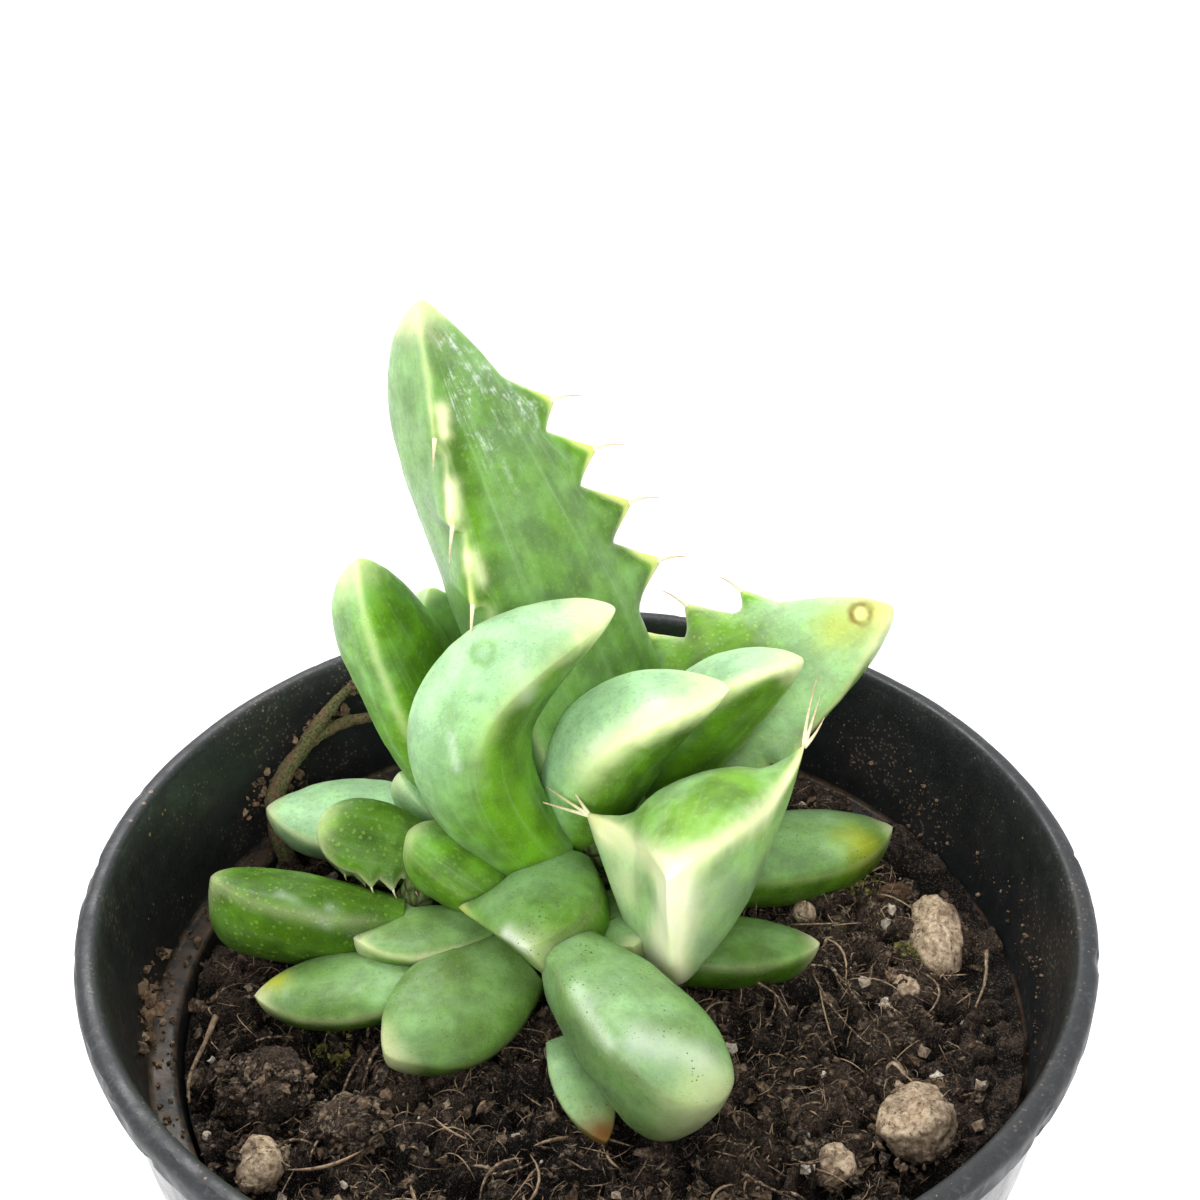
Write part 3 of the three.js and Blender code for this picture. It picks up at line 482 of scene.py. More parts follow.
class SoilSettings(PropertyGroup):
    """What a user would change on the soil."""
    # dark and light run from the hollows to the crowns of the soil: painted shade in the hollows and
    # painted light on the crowns
    dark: FloatVectorProperty(
        name="Wet peat", description="Colour in the hollows", subtype="COLOR",
        default=(0.006, 0.004, 0.003), min=0, max=1)
    light: FloatVectorProperty(
        name="Dry peat", description="Colour of the dry crumbs", subtype="COLOR",
        default=(0.120, 0.078, 0.054), min=0, max=1)
    crumbs: IntProperty(
        name="Crumbs", description="Number of loose crumbs", default=3000, min=0, max=4000)
    fibres: IntProperty(
        name="Fibres", description="Number of loose fibres", default=620, min=0, max=1200)
    relief: FloatProperty(
        name="Relief", description="Height of the soil's own crumbs", unit="LENGTH",
        default=0.0009, min=0, max=0.003)


class LeafSettings(PropertyGroup):
    """What a user would change on the leaves."""
    bloom: FloatVectorProperty(
        name="Bloom", description="Pale blue-green of the waxy skin", subtype="COLOR",
        default=(0.410, 0.680, 0.370), min=0, max=1)
    flesh: FloatVectorProperty(
        name="Flesh", description="Yellow-green that shows through", subtype="COLOR",
        default=(0.140, 0.345, 0.008), min=0, max=1)
    cream: FloatVectorProperty(
        name="Cream", description="Cream of the variegated margins and tips", subtype="COLOR",
        default=(0.900, 0.940, 0.540), min=0, max=1)
    bristle_length: FloatProperty(
        name="Bristle length", description="Length of a full bristle", unit="LENGTH",
        default=0.0028, min=0, max=0.006)


class StageSettings(PropertyGroup):
    """What a user would change on the light and the camera."""
    sky: FloatProperty(name="Sky", description="Strength of the white surroundings", default=1.06, min=0)
    key: FloatProperty(name="Key light", description="Power of the light above and behind", unit="POWER",
                       default=1.1, min=0)
    fill: FloatProperty(name="Fill light", description="Power of the soft light in front", unit="POWER",
                        default=1.9, min=0)
    lens: FloatProperty(name="Lens", description="Focal length", unit="CAMERA", default=CAMERA_LENS, min=10)


# Repeatable noise as whole arrays

def cell_value(cell, seed):
    """A repeatable value from 0 to 1 for each whole-number cell, by mixing its three numbers."""
    mixed = cell[..., 0] * 374761393 + cell[..., 1] * 668265263 + cell[..., 2] * 1274126177 + seed * 974711
    mixed = mixed & 0x7FFFFFFF
    mixed = ((mixed ^ (mixed >> 13)) * 1103515245) & 0x7FFFFFFF
    mixed = ((mixed ^ (mixed >> 15)) * 12345701) & 0x7FFFFFFF
    return (mixed ^ (mixed >> 14)) / 0x7FFFFFFF


def soft_noise(points, seed):
    """Smooth noise from -1 to 1: cell values at whole numbers, blended by 3t^2 - 2t^3 between them."""
    cell = np.floor(points).astype(np.int64)
    part = points - cell
    blend = part * part * (3 - 2 * part)
    total = np.zeros(points.shape[:-1])
    for corner in itertools.product((0, 1), repeat=3):
        weight = np.prod(np.where(corner, blend, 1 - blend), axis=-1)
        total += weight * cell_value(cell + np.array(corner), seed)
    return 2 * total - 1


def rough_noise(points, seed, octaves=4, gain=0.5):
    """Sum of soft noises, each twice as fine and gain times as high as the last."""
    layers = [gain ** k * soft_noise(points * 2 ** k, seed + 17 * k) for k in range(octaves)]
    return sum(layers) / sum(gain ** k for k in range(octaves))


def pebbled(points, size, seed):
    """Rounded crumbs from 0 to 1: the upper half of a ball round the nearest of one random centre per
    cubic cell."""
    spot = points / size
    cell = np.floor(spot).astype(np.int64)
    nearest = np.full(points.shape[:-1], 9.0)
    for step in itertools.product((-1, 0, 1), repeat=3):
        other = cell + np.array(step)
        centre = other + 0.15 + 0.7 * np.stack([cell_value(other, seed + k) for k in range(3)], axis=-1)
        reach = 0.55 + 0.35 * cell_value(other, seed + 9)
        nearest = np.minimum(nearest, np.linalg.norm(spot - centre, axis=-1) / reach)
    return np.sqrt(np.clip(1 - nearest ** 2, 0, None))


def matted(points, seed, octaves=5, gain=0.6):
    """Sharp-crested noise, like matted fibres: 1 less 2.6 times the size of rough noise."""
    return 1 - 2.6 * np.abs(rough_noise(points, seed, octaves, gain))


def torn(points, seed, reach):
    """Points moved about by rough noise, which tears the round edges of what is drawn on them."""
    shift = np.stack([rough_noise(points * 0.8, seed + k, 3) for k in range(3)], axis=-1)
    return points + reach * shift


def smooth_step(value, low, high):
    """0 below low, 1 above high, 3t^2 - 2t^3 between."""
    t = np.clip((value - low) / (high - low), 0, 1)
    return t * t * (3 - 2 * t)


def unit(vectors):
    """Vectors divided by their lengths."""
    return vectors / np.maximum(np.linalg.norm(vectors, axis=-1, keepdims=True), 1e-12)


def full_turn(count):
    """Angles of even steps round a circle."""
    return 2 * np.pi * np.arange(count) / count


def about_axis(radius, angle, height):
    """Points at a radius, an angle and a height about the Z axis, as whole arrays."""
    parts = np.broadcast_arrays(radius * np.cos(angle), radius * np.sin(angle), height)
    return np.stack(parts, axis=-1)


def turned(x, y, angle):
    """Plane coordinates turned by an angle."""
    cos, sin = np.cos(angle), np.sin(angle)
    return x * cos - y * sin, x * sin + y * cos


# Meshes

def skin_faces(rings, around):
    """Faces of a closed skin: corner 0 is its first end, then come rings of corners, then its last end."""
    k = np.arange(around)
    after = (k + 1) % around
    ring = 1 + np.arange(rings - 1)[:, None] * around
    quads = np.stack([ring + k, ring + after, ring + around + after, ring + around + k], axis=-1)
    last = 1 + (rings - 1) * around
    first_cap = np.stack([0 * k, 1 + after, 1 + k], axis=-1)
    last_cap = np.stack([last + k, last + after, 0 * k + last + around], axis=-1)
    return quads.reshape(-1, 4), np.concatenate([first_cap, last_cap])


def skin_points(first, rings, last):
    """Corners of a closed skin in the order that its faces name them."""
    return np.concatenate([np.reshape(first, (1, 3)), rings.reshape(-1, 3), np.reshape(last, (1, 3))])


def outwards(points, faces):
    """The faces, all turned over if the volume that they enclose comes out negative."""
    volume = 0.0
    for group in faces:
        a = points[group[:, 0]]
        for k in range(1, group.shape[1] - 1):
            volume += np.sum(a * np.cross(points[group[:, k]], points[group[:, k + 1]]))
    return faces if volume > 0 else [group[:, ::-1] for group in faces]


def make_piece(name, points, faces, finish, replaces=(), paint=None, smooth=True):
    """One object at the origin from corners in mm and groups of faces, with a float or vector
    attribute for each entry of paint. It rides on the root body."""
    faces = outwards(points, [np.asarray(group) for group in faces if len(group)])
    corners = np.concatenate([group.ravel() for group in faces])
    sizes = np.concatenate([np.full(len(group), group.shape[1]) for group in faces])
    mesh = bpy.data.meshes.new(name)
    mesh.vertices.add(len(points))
    mesh.vertices.foreach_set("co", (points * MM).astype(np.float32).ravel())
    mesh.loops.add(len(corners))
    mesh.loops.foreach_set("vertex_index", corners.astype(np.int32))
    mesh.polygons.add(len(sizes))
    mesh.polygons.foreach_set("loop_start", np.concatenate([[0], np.cumsum(sizes)[:-1]]).astype(np.int32))
    mesh.update(calc_edges=True)
    mesh.validate()
    mesh.polygons.foreach_set("use_smooth", np.full(len(mesh.polygons), smooth))
    for key, values in (paint or {}).items():
        values = np.asarray(values, dtype=np.float32)
        kind, field = ("FLOAT_VECTOR", "vector") if values.ndim == 2 else ("FLOAT", "value")
        mesh.attributes.new(key, kind, "POINT").data.foreach_set(field, values.ravel())
    mesh.materials.append(finish)
    piece = bpy.data.objects.new(name, mesh)
    bpy.context.scene.collection.objects.link(piece)
    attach(piece, "root")
    if replaces:
        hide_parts(*replaces)
    return piece


def along_path(points, steps):
    """Points on a smooth Catmull-Rom curve through the given ones, at equal steps of its parameter."""
    given = np.asarray(points, dtype=float)
    padded = np.concatenate([[2 * given[0] - given[1]], given, [2 * given[-1] - given[-2]]])
    t = np.linspace(0, len(given) - 1, steps)
    k = np.minimum(t.astype(int), len(given) - 2)
    f = (t - k)[:, None]
    a, b, c, d = (padded[k + i] for i in range(4))
    square, cube = 2 * a - 5 * b + 4 * c - d, 3 * b - a - 3 * c + d
    return 0.5 * (2 * b + (c - a) * f + square * f ** 2 + cube * f ** 3)


def tube_rings(paths, radii, around):
    """Rings round many paths at once. paths is (count, steps, 3) and radii (count, steps): each ring is
    a circle in the plane of two directions square to the path, found from a fixed helper direction."""
    tangent = unit(np.gradient(paths, axis=1))
    helper = np.broadcast_to(np.array([0.31, 0.23, 0.92]), tangent.shape)
    side = unit(np.cross(tangent, helper))
    other = np.cross(tangent, side)
    angle = full_turn(around)
    circle = np.cos(angle)[:, None] * side[:, :, None, :] + np.sin(angle)[:, None] * other[:, :, None, :]
    return paths[:, :, None, :] + radii[:, :, None, None] * circle


def many_skins(firsts, rings, lasts):
    """Corners and faces of many closed skins of one size: rings is (count, rings, around, 3)."""
    count, steps, around, _ = rings.shape
    points = np.concatenate([firsts[:, None], rings.reshape(count, -1, 3), lasts[:, None]], axis=1)
    quads, caps = skin_faces(steps, around)
    shift = (np.arange(count) * points.shape[1])[:, None, None]
    faces = [(quads[None] + shift).reshape(-1, 4), (caps[None] + shift).reshape(-1, 3)]
    return points.reshape(-1, 3), faces


# Materials

class Finish:
    """A material built one node at a time. Patterns are measured in mm."""

    def __init__(self, name):
        self.material = bpy.data.materials.new(name)
        self.material.use_nodes = True
        self.tree = self.material.node_tree
        self.shader = self.tree.nodes["Principled BSDF"]
        inputs = {"Vector": self.add("ShaderNodeTexCoord").outputs["Object"], "Scale": 1 / MM}
        self.place = self.add("ShaderNodeVectorMath", inputs, operation="SCALE").outputs[0]

    def add(self, kind, inputs=None, **settings):
        """A node with its settings, and its inputs given as values or as another node's socket."""
        node = self.tree.nodes.new(kind)
        for key, value in settings.items():
            setattr(node, key, value)
        for key, value in (inputs or {}).items():
            self.put(node.inputs[key], value)
        return node

    def put(self, socket, value):
        """Links a socket to the input, or sets its value."""
        if isinstance(value, bpy.types.NodeSocket):
            self.tree.links.new(value, socket)
        else:
            socket.default_value = value

    def noise(self, scale, detail=3, roughness=0.55, place=None, distortion=0.0):
        """Cloudy noise from 0 to 1, scale cycles per mm, of the place in the object or of another."""
        inputs = {"Vector": place or self.place, "Scale": scale, "Detail": detail,
                  "Roughness": roughness, "Distortion": distortion}
        return self.add("ShaderNodeTexNoise", inputs).outputs["Fac"]

    def cells(self, scale, feature="F1"):
        """Distance from the middles of random cells, scale cells per mm, or from their edges."""
        inputs = {"Vector": self.place, "Scale": scale}
        return self.add("ShaderNodeTexVoronoi", inputs, feature=feature).outputs["Distance"]

    def paint(self, name, output="Fac"):
        """An attribute of the mesh, as a number or a vector."""
        return self.add("ShaderNodeAttribute", attribute_name=name).outputs[output]

    def ramp(self, value, low, high, start=0.0, end=1.0):
        """Value carried smoothly from the range low..high to start..end, and kept inside it."""
        inputs = {"Value": value, "From Min": low, "From Max": high, "To Min": start, "To Max": end}
        return self.add("ShaderNodeMapRange", inputs, interpolation_type="SMOOTHSTEP").outputs[0]

    def maths(self, operation, a, b):
        """One sum on two numbers."""
        return self.add("ShaderNodeMath", {0: a, 1: b}, operation=operation).outputs[0]

    def times(self, a, b):
        """The product of two numbers."""
        return self.maths("MULTIPLY", a, b)

    def plus(self, a, b):
        """The sum of two numbers."""
        return self.maths("ADD", a, b)

    def below(self, a, b):
        """1 where a is less than b, and 0 elsewhere."""
        return self.maths("LESS_THAN", a, b)

    def mix(self, share, a, b, blend="MIX"):
        """Colour a with colour b laid over it by share."""
        inputs = {0: share, 6: tint(a), 7: tint(b)}
        return self.add("ShaderNodeMix", inputs, data_type="RGBA", blend_type=blend).outputs[2]

    def blend(self, value, low, high, colours):
        """From the first colour to the second as value runs from low to high."""
        return self.mix(self.ramp(value, low, high), *colours)

    def overlay(self, base, value, low, high, strength, colour):
        """Colour laid over base as value runs from low to high, up to strength."""
        return self.mix(self.ramp(value, low, high, 0, strength), base, colour)

    def bump(self, height, depth, strength=1.0):
        """Normal of a relief that is depth mm high."""
        inputs = {"Height": height, "Distance": depth * MM, "Strength": strength}
        return self.add("ShaderNodeBump", inputs).outputs[0]

    def wear(self, **sockets):
        """Sets the shader's inputs by name, with _ for a space."""
        for key, value in sockets.items():
            self.put(self.shader.inputs[key.replace("_", " ").title().replace("Ior", "IOR")], value)
        return self.material


def tint(colour):
    """A colour of three numbers gets its fourth; a socket stays as it is."""
    if isinstance(colour, bpy.types.NodeSocket):
        return colour
    return (*tuple(colour)[:3], 1.0)


def plastic_finish(settings):
    """Black moulded plastic: satin grain, dust and specks of dried soil on the inside, soil on the ledge
    and scuffs on the rim."""
    f = Finish("black_plastic")
    height = f.add("ShaderNodeSeparateXYZ", {0: f.place}).outputs["Z"]
    inside = f.paint("inside")
    haze = f.noise(0.18, 5, 0.65)
    grain = f.noise(6, 3, 0.6)
    coarse_specks = f.below(f.cells(1.1), f.ramp(f.noise(0.25, 3), 0.45, 0.75, 0.0, 0.2))
    fine_specks = f.below(f.cells(2.6), f.ramp(haze, 0.35, 0.7, 0.05, 0.3))
    dust = f.times(f.ramp(haze, 0.42, 0.72, 0.0, 0.55), f.times(inside, settings.dust))
    ledge = f.times(f.paint("ledge"), f.ramp(f.noise(0.9, 4, 0.7), 0.35, 0.6))
    base = f.blend(grain, 0.3, 0.7, (settings.plastic, [2.1 * c for c in settings.plastic]))
    base = f.mix(dust, base, DULL_DUST)
    base = f.mix(f.times(fine_specks, inside), base, FINE_SPECKS)
    base = f.mix(f.times(coarse_specks, inside), base, BROWN_SPECKS)
    base = f.mix(ledge, base, LEDGE_SOIL)
    scuffs = f.noise(1.1, 5, 0.7, distortion=1.5)
    rim = f.ramp(height, POT_HEIGHT - LIP_HEIGHT - 0.6, POT_HEIGHT - 0.4)
    base = f.mix(f.times(rim, f.ramp(scuffs, 0.5, 0.75, 0.15, 0.8)), base, SCUFFED_RIM)
    rough = f.ramp(f.noise(0.6, 4), 0.3, 0.7, settings.gloss - 0.1, settings.gloss + 0.14)
    outside = f.ramp(f.plus(inside, rim), 0.0, 0.3, 0.45, 1.0)
    rough = f.times(rough, outside)
    relief = f.plus(f.times(grain, 0.4), f.times(f.noise(1.3, 3), 0.6))
    return f.wear(base_color=base, roughness=rough, specular_ior_level=0.4,
                  normal=f.bump(relief, 0.05, 0.7))


def peat_finish(name, settings, lift=0.0):
    """Peat and coir: painted shading and light, near-black in the hollows and brown on the crowns, with
    reddish patches, tan threads, pale grit and specks, and a little moss."""
    f = Finish(name)
    crown = f.plus(f.paint("crown"), lift)
    fine = f.noise(2.6, 6, 0.75)
    grit = f.noise(6.5, 4, 0.7)
    threads = f.noise(1.6, 6, 0.78, distortion=3.5)
    # Painted shade and light: the crown attribute runs the colour from near-black in the hollows to brown
    # on the crowns, and lift makes the whole piece lighter
    share = f.plus(f.times(crown, 0.8), f.ramp(fine, 0.35, 0.65, -0.35, 0.35))
    base = f.blend(share, 0.35, 1.0, (settings.dark, settings.light))
    base = f.overlay(base, f.noise(0.32, 4, 0.6), 0.52, 0.75, 0.5, RED_PEAT)
    base = f.overlay(base, threads, 0.56, 0.62, 0.8, COIR_THREAD)
    base = f.overlay(base, threads, 0.46, 0.40, 0.9, settings.dark)
    base = f.overlay(base, grit, 0.58, 0.68, 0.7, PEAT_GRIT)
    base = f.overlay(base, grit, 0.44, 0.36, 0.85, settings.dark)
    pale = f.below(f.cells(2.0), f.ramp(f.noise(0.7, 3), 0.5, 0.8, 0.0, 0.24))
    base = f.mix(f.times(pale, 0.85), base, MINERAL_SPECK)
    moss = f.times(f.ramp(f.noise(0.21, 3), 0.6, 0.7), f.ramp(fine, 0.45, 0.6))
    base = f.mix(f.times(moss, 0.6), base, SOIL_MOSS)
    relief = f.plus(f.times(fine, 0.8), f.times(grit, 0.35))
    return f.wear(base_color=base, roughness=f.ramp(grit, 0.52, 0.66, 0.9, 0.3), specular_ior_level=0.35,
                  normal=f.bump(relief, 0.8, 1.0))


def bits_finish(name):
    """Loose bits whose tone is set bit by bit, mottled and rough."""
    dark, light, pale = BIT_COLOURS[name]
    f = Finish(name)
    tone = f.paint("tone")
    fine = f.noise(3.5, 5, 0.7)
    base = f.blend(tone, 0, 1, (dark, light))
    base = f.mix(f.ramp(tone, 1.3, 2.4), base, pale)
    base = f.overlay(base, fine, 0.45, 0.65, 0.75, pale)
    base = f.overlay(base, f.noise(2.2, 5, 0.75), 0.5, 0.62, 0.65, dark)
    return f.wear(base_color=base, roughness=f.ramp(fine, 0.3, 0.7, 0.7, 0.95), specular_ior_level=0.3,
                  normal=f.bump(fine, 0.12, 0.8))


def perlite_finish():
    """Perlite and pebbles: chalky beige, pitted, with brown stains and dark specks, and darker brown
    towards the bottom.
    """
    f = Finish("perlite")
    pits = f.cells(1.5)
    fine = f.noise(2.2, 5, 0.7)
    base = f.blend(fine, 0.3, 0.7, PERLITE)
    # Brown in random stains, and darker brown towards the bottom
    brown_share = f.plus(f.ramp(f.noise(0.8, 4), 0.45, 0.7, 0, 0.6), f.ramp(f.paint("crown"), 0.0, 0.45, 0.55, 0))
    base = f.mix(brown_share, base, PERLITE_BROWN)
    base = f.overlay(base, f.noise(3, 4, 0.7), 0.56, 0.66, 0.85, PERLITE_PITS)
    relief = f.plus(f.ramp(pits, 0.0, 0.35), f.times(fine, 0.8))
    return f.wear(base_color=base, roughness=0.88, specular_ior_level=0.3, subsurface_weight=0.08,
                  subsurface_scale=0.0005, normal=f.bump(relief, 0.2, 0.8))


def bark_finish():
    """Bark chip: brown layers with darker lines along it."""
    f = Finish("bark")
    inputs = {"Vector": f.place, "Rotation": (0, 0, math.radians(40)), "Scale": (0.5, 3, 3)}
    layers = f.noise(1.2, 5, 0.65, place=f.add("ShaderNodeMapping", inputs).outputs[0])
    base = f.blend(layers, 0.3, 0.7, BARK)
    return f.wear(base_color=base, roughness=0.82, specular_ior_level=0.3, normal=f.bump(layers, 0.25, 0.9))


def moss_finish():
    """Mossy root: tan bark under an uneven coat of olive moss."""
    f = Finish("mossy_root")
    patch = f.noise(0.9, 4, 0.65)
    fine = f.noise(5, 5, 0.75)
    bark = f.blend(fine, 0.3, 0.7, ROOT_BARK)
    moss = f.blend(fine, 0.35, 0.65, ROOT_MOSS)
    base = f.blend(patch, 0.38, 0.55, (bark, moss))
    return f.wear(base_color=base, roughness=0.95, specular_ior_level=0.2, normal=f.bump(fine, 0.25, 1.0))


def stem_finish():
    """Stem: dull green-brown with scale scars round it."""
    f = Finish("stem")
    scars = f.cells(0.9, "DISTANCE_TO_EDGE")
    fine = f.noise(3, 4, 0.65)
    base = f.blend(fine, 0.3, 0.7, STEM_GREEN)
    base = f.mix(f.ramp(scars, 0.0, 0.12, 0.8, 0), base, STEM_SCAR)
    return f.wear(base_color=base, roughness=0.7, specular_ior_level=0.3,
                  normal=f.bump(f.ramp(scars, 0.0, 0.2), 0.2, 0.8))


def leaf_finish(settings):
    """Leaf skin: pale waxy bloom over yellow-green flesh, mottled and streaked along the leaf. The flesh
    also stands in for painted shading on the flanks turned from the light, and the bloom for painted
    light on those that face it. Then come more painted shading that deepens the green, cream bands,
    pale raised dots, pale scuffs with painted shine, painted highlights and soil dust, and light
    passing through it."""
    f = Finish("leaf")
    bloom, flesh = settings.bloom, settings.flesh
    blotch = f.noise(0.42, 3, 0.5)
    mottle = f.noise(2.6, 4, 0.6)
    grain = f.noise(9, 3, 0.6)
    skin = f.blend(blotch, 0.3, 0.7, ([0.82 * c for c in bloom], [min(1.2 * c, 1) for c in bloom]))
    skin = f.overlay(skin, mottle, 0.48, 0.7, 0.45, [0.6 * c for c in bloom])
    skin = f.overlay(skin, f.noise(4.5, 4, 0.7), 0.55, 0.68, 0.4, WAXY_FLECK)
    meat = f.blend(blotch, 0.3, 0.7, ([0.62 * c for c in flesh], [1.25 * c for c in flesh]))
    # Painted light and shade as well as colour: the lush attribute shows more flesh on the flanks turned
    # from the light and more pale bloom on those that face it
    base = f.mix(f.paint("lush_and_painted_light"), skin, meat)
    ribs = f.noise(1.0, 4, 0.6, place=f.paint("ribs", "Vector"))
    streak = f.times(f.ramp(ribs, 0.5, 0.7), f.paint("streaks"))
    base = f.mix(f.times(streak, 0.42), base, PALE_STREAK)
    dark_streak = f.times(f.ramp(ribs, 0.5, 0.28), f.paint("streaks"))
    base = f.mix(f.times(dark_streak, 0.35), base, DARK_STREAK)
    dot = f.ramp(f.cells(1.9), 0.36, 0.16)
    dots = f.times(dot, f.paint("dots"))
    base = f.mix(f.times(dots, 0.55), base, PALE_DOT)
    # Painted shade: darkens the colour and tints it olive
    base = f.mix(f.paint("painted_shade"), base, PAINTED_SHADE_TINT, "MULTIPLY")
    base = f.overlay(base, f.noise(12, 3, 0.7), 0.5, 0.7, 0.35, DARK_GRAIN)
    base = f.overlay(base, f.noise(14, 3, 0.7), 0.55, 0.7, 0.16, LIGHT_GRAIN)
    base = f.mix(f.paint("cream"), base, settings.cream)
    base = f.mix(f.paint("yellow"), base, YELLOWED)
    base = f.mix(f.paint("brown"), base, DRIED_UP)
    wisps = f.noise(2.6, 5, 0.75, place=f.paint("ribs", "Vector"))
    torn_wisps = f.plus(f.times(wisps, 0.45), f.times(f.noise(1.2, 5, 0.7), 0.55))
    # Pale scuffs with painted shine on them
    shiny_scuffs = f.times(f.paint("shiny_scuffs"), f.ramp(torn_wisps, 0.50, 0.64, 0.04, 0.8))
    base = f.mix(shiny_scuffs, base, SHINY_SCUFF)
    # Painted highlights, laid on where the sheen marks are
    base = f.mix(f.times(f.paint("painted_highlight"), 0.8), base, PAINTED_HIGHLIGHT)
    speck_room = f.ramp(f.noise(0.5, 3), 0.35, 0.7, 0.02, 0.26)
    speck_size = f.times(speck_room, f.paint("dust"))
    specks = f.below(f.cells(3.1), speck_size)
    base = f.mix(f.times(specks, 0.75), base, SOIL_SPECK)
    film = f.times(f.ramp(grain, 0.52, 0.68), f.paint("grime"))
    base = f.mix(f.times(film, 0.75), base, GRIME)
    relief = f.plus(f.times(mottle, 0.5), f.times(grain, 0.25))
    relief = f.plus(relief, f.times(dots, 0.6))
    rough = f.ramp(mottle, 0.3, 0.7, 0.3, 0.46)
    return f.wear(base_color=base, roughness=rough, specular_ior_level=0.17, subsurface_weight=0.5,
                  subsurface_radius=(0.8, 1.3, 0.12), subsurface_scale=0.0014,
                  coat_weight=0.05, coat_roughness=0.2, normal=f.bump(relief, 0.08, 0.9))


def bristle_finish():
    """Bristle: cream at its foot, pinkish towards the point, and light passes through it."""
    f = Finish("bristle")
    base = f.mix(f.paint("out"), *BRISTLE)
    base = f.overlay(base, f.noise(4, 3), 0.4, 0.7, 0.35, BRISTLE_PALE)
    return f.wear(base_color=base, roughness=0.4, subsurface_weight=0.15, subsurface_radius=(1, 0.8, 0.5),
                  subsurface_scale=0.0004, specular_ior_level=0.4)


# Pot

def rounded(profile, radius, steps):
    """A profile with each corner replaced by a short curve: points of the quadratic curve from radius
    before the corner to radius after it, where the corner itself is the handle."""
    done = [np.array(profile[:1], dtype=float)]
    for before, corner, after in zip(profile[:-2], profile[1:-1], profile[2:]):
        before, corner, after = (np.array(p, dtype=float) for p in (before, corner, after))
        reach_in = min(radius, 0.45 * np.linalg.norm(corner - before))
        reach_out = min(radius, 0.45 * np.linalg.norm(after - corner))
        start = corner + reach_in * unit(before - corner)
        end = corner + reach_out * unit(after - corner)
        t = np.linspace(0, 1, steps)[:, None]
        done.append((1 - t) ** 2 * start + 2 * t * (1 - t) * corner + t ** 2 * end)
    done.append(np.array(profile[-1:], dtype=float))
    return np.concatenate(done)


def filled(profile, spacing):
    """A profile with more points on its long runs, none further apart than spacing."""
    parts = []
    for start, end in zip(profile[:-1], profile[1:]):
        count = max(1, math.ceil(np.linalg.norm(end - start) / spacing))
        parts.append(start + (end - start) * (np.arange(count) / count)[:, None])
    return np.concatenate([*parts, profile[-1:]])


def pot_profile():
    """Radius and height pairs, up the outside, over the lip and down the inside."""
    lip_foot = POT_HEIGHT - LIP_HEIGHT
    outer = [
        (0, 0), (FOOT_RADIUS - CHAMFER, 0), (FOOT_RADIUS, CHAMFER),
        (LOWER_WALL_TOP + WALL, LEDGE_HEIGHT - 1.4), (COLLAR_FOOT + 0.9, LEDGE_HEIGHT - 0.4),
        (RIM_RADIUS - 0.8, lip_foot - 0.4), (RIM_RADIUS, lip_foot), (RIM_RADIUS, POT_HEIGHT - 0.35),
        (RIM_RADIUS - 0.35, POT_HEIGHT),
    ]
    inner = [
        (INNER_RIM + 0.3, POT_HEIGHT), (INNER_RIM, POT_HEIGHT - 0.3), (COLLAR_FOOT, LEDGE_HEIGHT),
        (LOWER_WALL_TOP, LEDGE_HEIGHT - 0.2), (LOWER_WALL_FOOT, FLOOR + CHAMFER),
        (LOWER_WALL_FOOT - CHAMFER, FLOOR), (0, FLOOR),
    ]
    return filled(rounded(outer + inner, PROFILE_ROUNDING, 5), PROFILE_STEP)


def make_pot(settings):
    """The pot: its profile carried round the Z axis. The moulding flash on the lip's outer edge moves
    in and out by noise of the angle, with nicks. The drain holes are cut out of the bottom."""
    profile = pot_profile()[1:-1]
    radius, height = profile[:, 0, None], profile[:, 1, None]
    angle = full_turn(POT_SIDES)[None]
    round_trip = about_axis(9, angle, height)
    flash = (radius > RIM_RADIUS - 0.5) & (height > POT_HEIGHT - LIP_HEIGHT - 0.2)
    nicks = smooth_step(rough_noise(round_trip * 2.2, 3), 0.1, 0.4)
    ragged = flash * (FLASH_WAVES * rough_noise(round_trip, 4) - FLASH_NICKS * nicks)
    wobble = POT_WOBBLE * soft_noise(round_trip * 0.2, 8)
    rings = about_axis(radius + (ragged + wobble) * (radius > 20), angle, height)
    points = skin_points((0, 0, 0), rings, (0, 0, FLOOR))

    row = np.arange(len(profile))
    past_lip = row > np.argmax(profile[:, 0] * (profile[:, 1] > POT_HEIGHT - 0.01))
    on_ledge = past_lip & (np.abs(profile[:, 1] - LEDGE_HEIGHT + 0.1) < 0.35)
    inside, ledge = (np.repeat(rows.astype(float), POT_SIDES) for rows in (past_lip, on_ledge))
    paint = {"inside": np.concatenate([[0], inside, [1]]), "ledge": np.concatenate([[0], ledge, [0]])}
    pot = make_piece("pot_shell", points, skin_faces(len(profile), POT_SIDES), plastic_finish(settings),
                     ["pot"], paint)
    cut_drains(pot)
    return pot


